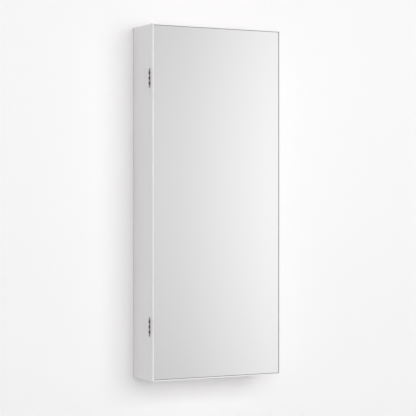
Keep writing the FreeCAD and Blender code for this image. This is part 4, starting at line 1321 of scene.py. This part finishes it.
@dataclass
class Door(SubAssembly):
    """The door: its edge frame, the mirror and the lined back."""

    arris: float = 0.35 * MM
    flat_area: float = 0.01
    bumper_gap: float = 3 * MM

    def build(self) -> None:
        """Finish the frame, set the glass and line the back. The pane's large faces are shaded flat."""
        dress(LACQUER, "door_stile_left", "door_stile_right", "door_rail_top", "door_rail_bottom")
        dress(LACQUER, "door_core")
        dress(SEAL, "mirror_seal")
        dress(FILM, "mirror_film")
        dress(FOAM_TAPE, "mirror_tape")
        dress(VELVET, "door_lining")
        dress(ZINC, "strike_plate")
        Screws(self.body, "strike_screw", ZINC, 0.9 * MM).build()
        block = rounded_block(*corners_of("mirror_glass"), self.arris, (1, 1, 1), 3)
        pane = self.place("mirror_pane", block, MIRROR, "mirror_glass").data
        areas = np.empty(len(pane.polygons), np.float32)
        pane.polygons.foreach_get("area", areas)
        pane.polygons.foreach_set("use_smooth", areas < self.flat_area)
        pane.update()
        for index, (_, low, high) in enumerate(solids_of("door_bumpers", self.bumper_gap), start=1):
            self.place(f"door_bumper_{index}", self.bumper(low, high), CLEAR_RUBBER, "door_bumpers")

    def bumper(self, low: np.ndarray, high: np.ndarray) -> Surface:
        """A clear dome on a short straight skirt, turned about Y.

        Args:
            low: Its lowest corner.
            high: Its highest corner.

        Returns:
            The closed surface.
        """
        radius = (high[0] - low[0]) / 2
        thick = high[1] - low[1]
        skirt = thick * 0.7
        rise = np.radians(np.linspace(0, 86, 9))
        dome = np.stack([radius * np.cos(rise), skirt + (thick - skirt) * np.sin(rise)], -1)
        profile = np.concatenate([[[0, 0], [radius * 0.9, 0], [radius, 0.1 * MM]], dome, [[0, thick]]])
        middle = (low + high) / 2
        return turned(profile, (middle[0], low[1], middle[2]), Axis.Y)


@dataclass
class EarringRack(SubAssembly):
    """Pierced strips between two brackets."""

    def build(self) -> None:
        """Finish the rack."""
        dress(LACQUER, "earring_bracket_left", "earring_bracket_right")
        dress(BRASS, "earring_strips")
        Screws(self.body, "earring_rack_screws", ZINC, 1.0 * MM).build()


def swollen(piece: bpy.types.Object, pinned: np.ndarray, cap: float, pressure: float = 4.0,
            spare_cloth: float = 0.02, frames: int = 20) -> None:
    """Blow a closed piece up as cloth, and keep the shape that it gets.

    Args:
        piece: The piece, of even faces.
        pinned: Which points stay where they are.
        cap: How far a point may move.
        pressure: The pressure inside.
        spare_cloth: How much longer the cloth is than the shape, which puckers it.
        frames: How long it swells.
    """
    scene = bpy.context.scene
    group = piece.vertex_groups.new(name="pinned")
    group.add(np.flatnonzero(pinned).tolist(), 1.0, "REPLACE")
    cloth = piece.modifiers.new("swelling", "CLOTH")
    cloth.point_cache.frame_start = 1
    cloth.point_cache.frame_end = frames
    settings = cloth.settings
    settings.quality = 6
    settings.mass = 0.15
    settings.tension_stiffness = 12.0
    settings.compression_stiffness = 12.0
    settings.bending_stiffness = 0.15
    settings.shrink_min = -spare_cloth
    settings.use_pressure = True
    settings.uniform_pressure_force = pressure
    settings.vertex_group_mass = group.name
    settings.effector_weights.gravity = 0.0
    for moment in range(1, frames + 1):
        scene.frame_set(moment)
    evaluated = piece.evaluated_get(bpy.context.evaluated_depsgraph_get())
    swelled = np.empty(len(piece.data.vertices) * 3, np.float32)
    evaluated.data.vertices.foreach_get("co", swelled)
    rest = np.empty_like(swelled)
    piece.data.vertices.foreach_get("co", rest)
    move = (swelled - rest).reshape(-1, 3)
    length = np.linalg.norm(move, axis=1, keepdims=True)
    move *= np.minimum(1.0, cap / np.maximum(length, 1e-9))
    LOG.info("%s: swelled by up to %.1f mm", piece.name, float(length.max()) / MM)
    piece.modifiers.remove(cloth)
    piece.vertex_groups.remove(group)
    piece.data.vertices.foreach_set("co", (rest.reshape(-1, 3) + move).ravel())
    piece.data.update()
    scene.frame_set(1)


@dataclass
class StudCushion(SubAssembly):
    """The padded cushion that stud earrings are pushed into, and the welt sewn round it."""

    crown: float = 2.2 * MM
    edge_round: float = 2.6 * MM
    inset: float = 1.6 * MM
    glued: float = 0.2 * MM
    divisions: tuple[int, int, int] = (96, 2, 40)
    welt_radius: float = 1.0 * MM
    welt_corner: float = 5.0 * MM

    def build(self) -> None:
        """Cover the board, make the cushion and lay the welt."""
        dress(VELVET, "stud_cushion_board")
        low, high = corners_of("stud_cushion")
        inset = np.array([self.inset, 0.0, self.inset])
        crown = np.array([0.0, self.crown, 0.0])
        surface = rounded_block(low + inset, high - inset - crown, self.edge_round, self.divisions)
        cushion = self.place("stud_cushion_padded", surface, PLUSH, "stud_cushion")
        swollen(cushion, surface[0][:, 1] < low[1] + self.glued, self.crown)
        finer = cushion.modifiers.new("finer", "SUBSURF")
        finer.levels = finer.render_levels = 1
        welt = self.welt(low, high)
        self.place("stud_cushion_welt", welt, VELVET, "stud_cushion")

    def welt(self, low: np.ndarray, high: np.ndarray) -> Surface:
        """A cord carried round a rectangle with rounded corners, at the foot of the cushion.

        Point (i, j) is p(i) + r * (cos t(j) * n(i) + sin t(j) * y), where n is the way out of the rectangle.

        Args:
            low: The cushion's lowest corner.
            high: The cushion's highest corner.

        Returns:
            The surface, which closes on itself.
        """
        reach = self.welt_radius
        corner = self.welt_corner
        turn = np.radians(np.linspace(0, 90, 7))
        half = (high - low) / 2 - corner - reach
        path, outward = [], []
        for quarter, (x, z) in enumerate(((1, 1), (-1, 1), (-1, -1), (1, -1))):
            angle = turn + quarter * math.pi / 2
            way = np.stack([np.cos(angle), np.zeros_like(angle), np.sin(angle)], -1)
            path.append((low + high) / 2 + np.array([x * half[0], 0.0, z * half[2]]) + corner * way)
            outward.append(way)
        rail, normal = np.concatenate(path), np.concatenate(outward)
        rail[:, 1] = low[1] + reach
        angle = np.linspace(0, 2 * math.pi, 12, endpoint=False)
        ring = np.cos(angle)[:, None] * normal[:, None] + np.sin(angle)[:, None] * np.array([0.0, 1.0, 0.0])
        points = rail[:, None] + reach * ring
        count, around = points.shape[:2]
        index = np.arange(count * around).reshape(count, around)
        onward = np.roll(index, -1, 0)
        quads = np.stack([index, np.roll(index, -1, 1), np.roll(onward, -1, 1), onward], -1)
        return points.reshape(-1, 3), [quads.reshape(-1, 4)]


# ---- studio ----


@dataclass(frozen=True)
class SoftLamp:
    """A large soft lamp, given by the directions that it fills as seen from the cabinet, in degrees.

    Its share is the part of the open wall's light that comes from it, where 1 makes a colour render as it is
    written.
    """

    side: float
    rise: float
    half_width: float
    half_height: float
    share: float
    away: float = 5.0

    def build(self, aim: Point) -> None:
        """Hang the lamp so that it faces the aim.

        The wall gets share * pi from it when its power is pi^2 * share / m, where m is the mean over the lamp
        of cos(at the lamp) * cos(at the wall) / distance^2.

        Args:
            aim: Where it points.
        """
        side, rise = math.radians(self.side), math.radians(self.rise)
        wide = self.away * math.tan(math.radians(self.half_width))
        tall = self.away * math.tan(math.radians(self.half_height))
        way = np.array([math.sin(side) * math.cos(rise), -math.cos(side) * math.cos(rise), math.sin(rise)])
        right = np.array([math.cos(side), math.sin(side), 0.0])
        across, up = np.meshgrid(np.linspace(-wide, wide, 25), np.linspace(-tall, tall, 25))
        spots = self.away * way + across[..., None] * right + up[..., None] * np.cross(way, right)
        far = np.linalg.norm(spots, axis=-1)
        reach = np.mean(spots @ way / far * -spots[..., 1] / far / far ** 2)
        lamp = bpy.data.lights.new("soft_lamp", "AREA")
        lamp.shape = "RECTANGLE"
        lamp.size = 2 * wide
        lamp.size_y = 2 * tall
        lamp.energy = math.pi ** 2 * self.share / reach
        holder = bpy.data.objects.new("soft_lamp", lamp)
        bpy.context.scene.collection.objects.link(holder)
        holder.location = np.array(aim) + self.away * way
        holder.rotation_euler = (math.pi / 2 - rise, 0.0, side)
        holder.visible_glossy = False
        holder.visible_camera = False


# The room in reflections: how bright it is by how far to the right one looks, from -1 to 1.
ROOM_TONES = (
    (-1.0, 0.80), (-0.74, 0.98), (-0.56, 0.66), (-0.30, 0.92), (-0.08, 0.66), (0.09, 0.97), (0.24, 0.92),
    (0.40, 0.66), (0.441, 0.727), (0.456, 0.766), (0.474, 0.847), (0.501, 0.962), (0.53, 1.0), (1.0, 0.92),
)


@dataclass
class Studio:
    """A pale wall, a pale floor, soft light and the camera.

    Each fade runs from one distance to another. The front and back levels light the object, and the dimming
    and the least level are the room's in reflections, above and below its horizon.
    """

    middle_height: float = -0.43
    floor_height: float = -1.824
    wall_half_width: float = 5.0
    wall_top: float = 4.0
    opening_inset: float = 2 * MM
    opening_left_inset: float = 10 * MM
    wall_fade: tuple[float, float] = (1.1, 2.4)
    wall_colour: Colour = (0.943, 0.932, 0.938)
    floor_depth: float = 6.0
    floor_colour: Colour = (0.57, 0.57, 0.57)
    floor_lift: float = 0.6
    floor_fade: tuple[float, float] = (0.6, 3.6)
    front_level: float = 0.315
    back_level: float = 0.85
    horizon: float = 0.02
    room_dimming: float = 6.0
    room_least: float = 0.82
    lens: float = 135.0
    camera_place: Point = (-2.0922, -4.0040, -0.4294)
    camera_yaw: float = 0.4886
    camera_pitch: float = -0.00342

    def build(self) -> None:
        """Make the studio."""
        scene = bpy.context.scene
        scene.view_settings.view_transform = "Standard"
        self.wall()
        self.floor()
        self.world(scene)
        SoftLamp(4.0, 12.0, 34.0, 19.0, 0.585).build((0.0, 0.0, self.middle_height))
        self.camera(scene)

    def backdrop(self, name: str, points: np.ndarray, quads: np.ndarray,
                 material: bpy.types.Material) -> None:
        """Make a flat piece of the studio that isn't part of the object.

        Args:
            name: Its name.
            points: Its points.
            quads: Its faces, which index them.
            material: Its material.
        """
        backdrop = mesh_object(name, (points, [quads]), smooth=False)
        backdrop.data.materials.append(material)

    def fading_paint(self, sheet: NodeSheet, surface: Socket, gone: Socket) -> None:
        """Let a paint's surface go clear, and link it to the output.

        Args:
            sheet: The material's sheet.
            surface: The paint's surface.
            gone: How clear it is, from 0 to 1.
        """
        clear = sheet.add("BsdfTransparent").outputs[0]
        mixed = sheet.add("MixShader", {0: gone, 1: surface, 2: clear}).outputs[0]
        sheet.add("OutputMaterial", {"Surface": mixed})

    def wall_paint(self) -> bpy.types.Material:
        """The wall's matt paint, which the camera sees through from behind, and far from the cabinet.

        Returns:
            The material.
        """
        material, sheet, matt = principled("wall_paint", self.wall_colour, 1.0)
        matt.inputs["Specular IOR Level"].default_value = 0.0
        behind = sheet.add("NewGeometry").outputs["Backfacing"]
        looked_at = sheet.add("LightPath").outputs["Is Camera Ray"]
        far = sheet.span(sheet.distance((0.0, 0.0, self.middle_height)), *self.wall_fade, 0.0, 1.0)
        gone = sheet.maths("MULTIPLY", sheet.maths("MAXIMUM", behind, far), looked_at)
        self.fading_paint(sheet, matt.outputs[0], gone)
        return material

    def floor_paint(self) -> bpy.types.Material:
        """The floor's matt paint.

        Where the camera or a reflection sees it, it is lifted towards white, and it fades out into the room
        with its distance from the cabinet.

        Returns:
            The material.
        """
        material, sheet, matt = principled("floor_paint", self.floor_colour, 1.0)
        matt.inputs["Specular IOR Level"].default_value = 0.0
        path = sheet.add("LightPath").outputs
        seen = sheet.maths("ADD", path["Is Camera Ray"], path["Is Glossy Ray"])
        seen = sheet.maths("ADD", seen, path["Is Transmission Ray"], clamp=True)
        glow = sheet.add("Emission", {"Color": (*self.wall_colour, 1.0), "Strength": 1.0}).outputs[0]
        lift = sheet.maths("MULTIPLY", seen, self.floor_lift)
        lifted = sheet.add("MixShader", {0: lift, 1: matt.outputs[0], 2: glow}).outputs[0]
        far = sheet.span(sheet.distance((0.0, 0.0, self.floor_height)), *self.floor_fade, 0.0, 1.0)
        self.fading_paint(sheet, lifted, sheet.maths("MULTIPLY", seen, far))
        return material

    def wall(self) -> None:
        """The wall at y = 0, open behind the cabinet so that its back is lit in views from behind."""
        low = np.array(solid_low) + self.opening_inset
        low[0] = solid_low[0] + self.opening_left_inset
        high = np.array(solid_high) - self.opening_inset
        wide = self.wall_half_width
        across = (-wide, low[0], high[0], wide)
        up = (self.floor_height, low[2], high[2], self.wall_top)
        points = np.array([(x, 0.0, z) for z in up for x in across])
        index = np.arange(16).reshape(4, 4)
        quads = np.stack([index[:-1, :-1], index[:-1, 1:], index[1:, 1:], index[1:, :-1]], -1).reshape(-1, 4)
        open_middle = 4
        self.backdrop("studio_wall", points, np.delete(quads, open_middle, 0), self.wall_paint())

    def floor(self) -> None:
        """The floor in front of the wall."""
        wide, deep, height = self.wall_half_width, self.floor_depth, self.floor_height
        corners = ((-wide, -deep), (wide, -deep), (wide, 0.0), (-wide, 0.0))
        points = np.array([(x, y, height) for x, y in corners])
        self.backdrop("studio_floor", points, np.array([[0, 1, 2, 3]]), self.floor_paint())

    def world(self, scene: bpy.types.Scene) -> None:
        """An even pale room. In reflections it has a darker left end and a bright right one.

        Args:
            scene: The scene that gets it.
        """
        world = bpy.data.worlds.new("studio_world")
        scene.world = world
        world.use_nodes = True
        sheet = NodeSheet(world.node_tree)
        way = sheet.add("TexCoord").outputs["Generated"]
        right, ahead, up = sheet.add("SeparateXYZ", {0: way}).outputs
        ramp = sheet.add("ValToRGB", {0: sheet.span(right, -1.0, 1.0, 0.0, 1.0)})
        elements = ramp.color_ramp.elements
        while len(elements) < len(ROOM_TONES):
            elements.new(0.5)
        for element, (place, level) in zip(elements, ROOM_TONES):
            element.position = (place + 1) / 2
            element.color = (level, level, level, 1.0)
        lifted = sheet.maths("SUBTRACT", up, self.horizon)
        dimming = sheet.maths("MULTIPLY", sheet.maths("MULTIPLY", lifted, lifted), self.room_dimming)
        fall = sheet.maths("MAXIMUM", sheet.maths("SUBTRACT", 1.0, dimming), self.room_least)
        reflected = sheet.mix(1.0, ramp.outputs[0], sheet.grey(fall), "MULTIPLY")
        path = sheet.add("LightPath").outputs
        plain = sheet.grey(sheet.span(ahead, -0.1, 0.4, self.front_level, self.back_level))
        lit = sheet.mix(path["Is Glossy Ray"], plain, reflected)
        shown = sheet.mix(path["Is Camera Ray"], lit, self.wall_colour)
        background = sheet.add("Background", {"Color": shown, "Strength": 1.0}).outputs[0]
        sheet.add("OutputWorld", {"Surface": background})

    def camera(self, scene: bpy.types.Scene) -> None:
        """The camera, at the front left and level with the middle of the cabinet.

        Args:
            scene: The scene that gets it.
        """
        lens = bpy.data.cameras.new("camera")
        lens.lens = self.lens
        holder = bpy.data.objects.new("camera", lens)
        scene.collection.objects.link(holder)
        holder.location = self.camera_place
        holder.rotation_euler = (math.pi / 2 + self.camera_pitch, 0.0, -self.camera_yaw)
        scene.camera = holder


def main() -> None:
    """Build the sub-assemblies in order, then the studio."""
    logging.basicConfig(level=logging.INFO, format="%(name)s %(message)s")
    assemblies = [
        WallBar("wall_bar"), Case("case"), Necklaces("case"), Shelves("case"), Bins("case"), RingTray("case"),
        # The case's hinges get the lighter bronze and the door's the near-black copy: painted highlight and
        # painted shade on alternate knuckles.
        Bracelets("case"), Catch("case"), Hinges("case", BRONZE), Hinges("door", PAINTED_SHADE_BRONZE), Door("door"),
        EarringRack("door"), StudCushion("door"),
    ]
    for assembly in assemblies:
        LOG.info("building %s", type(assembly).__name__)
        assembly.build()
    Studio().build()


if __name__ == "__main__":
    main()
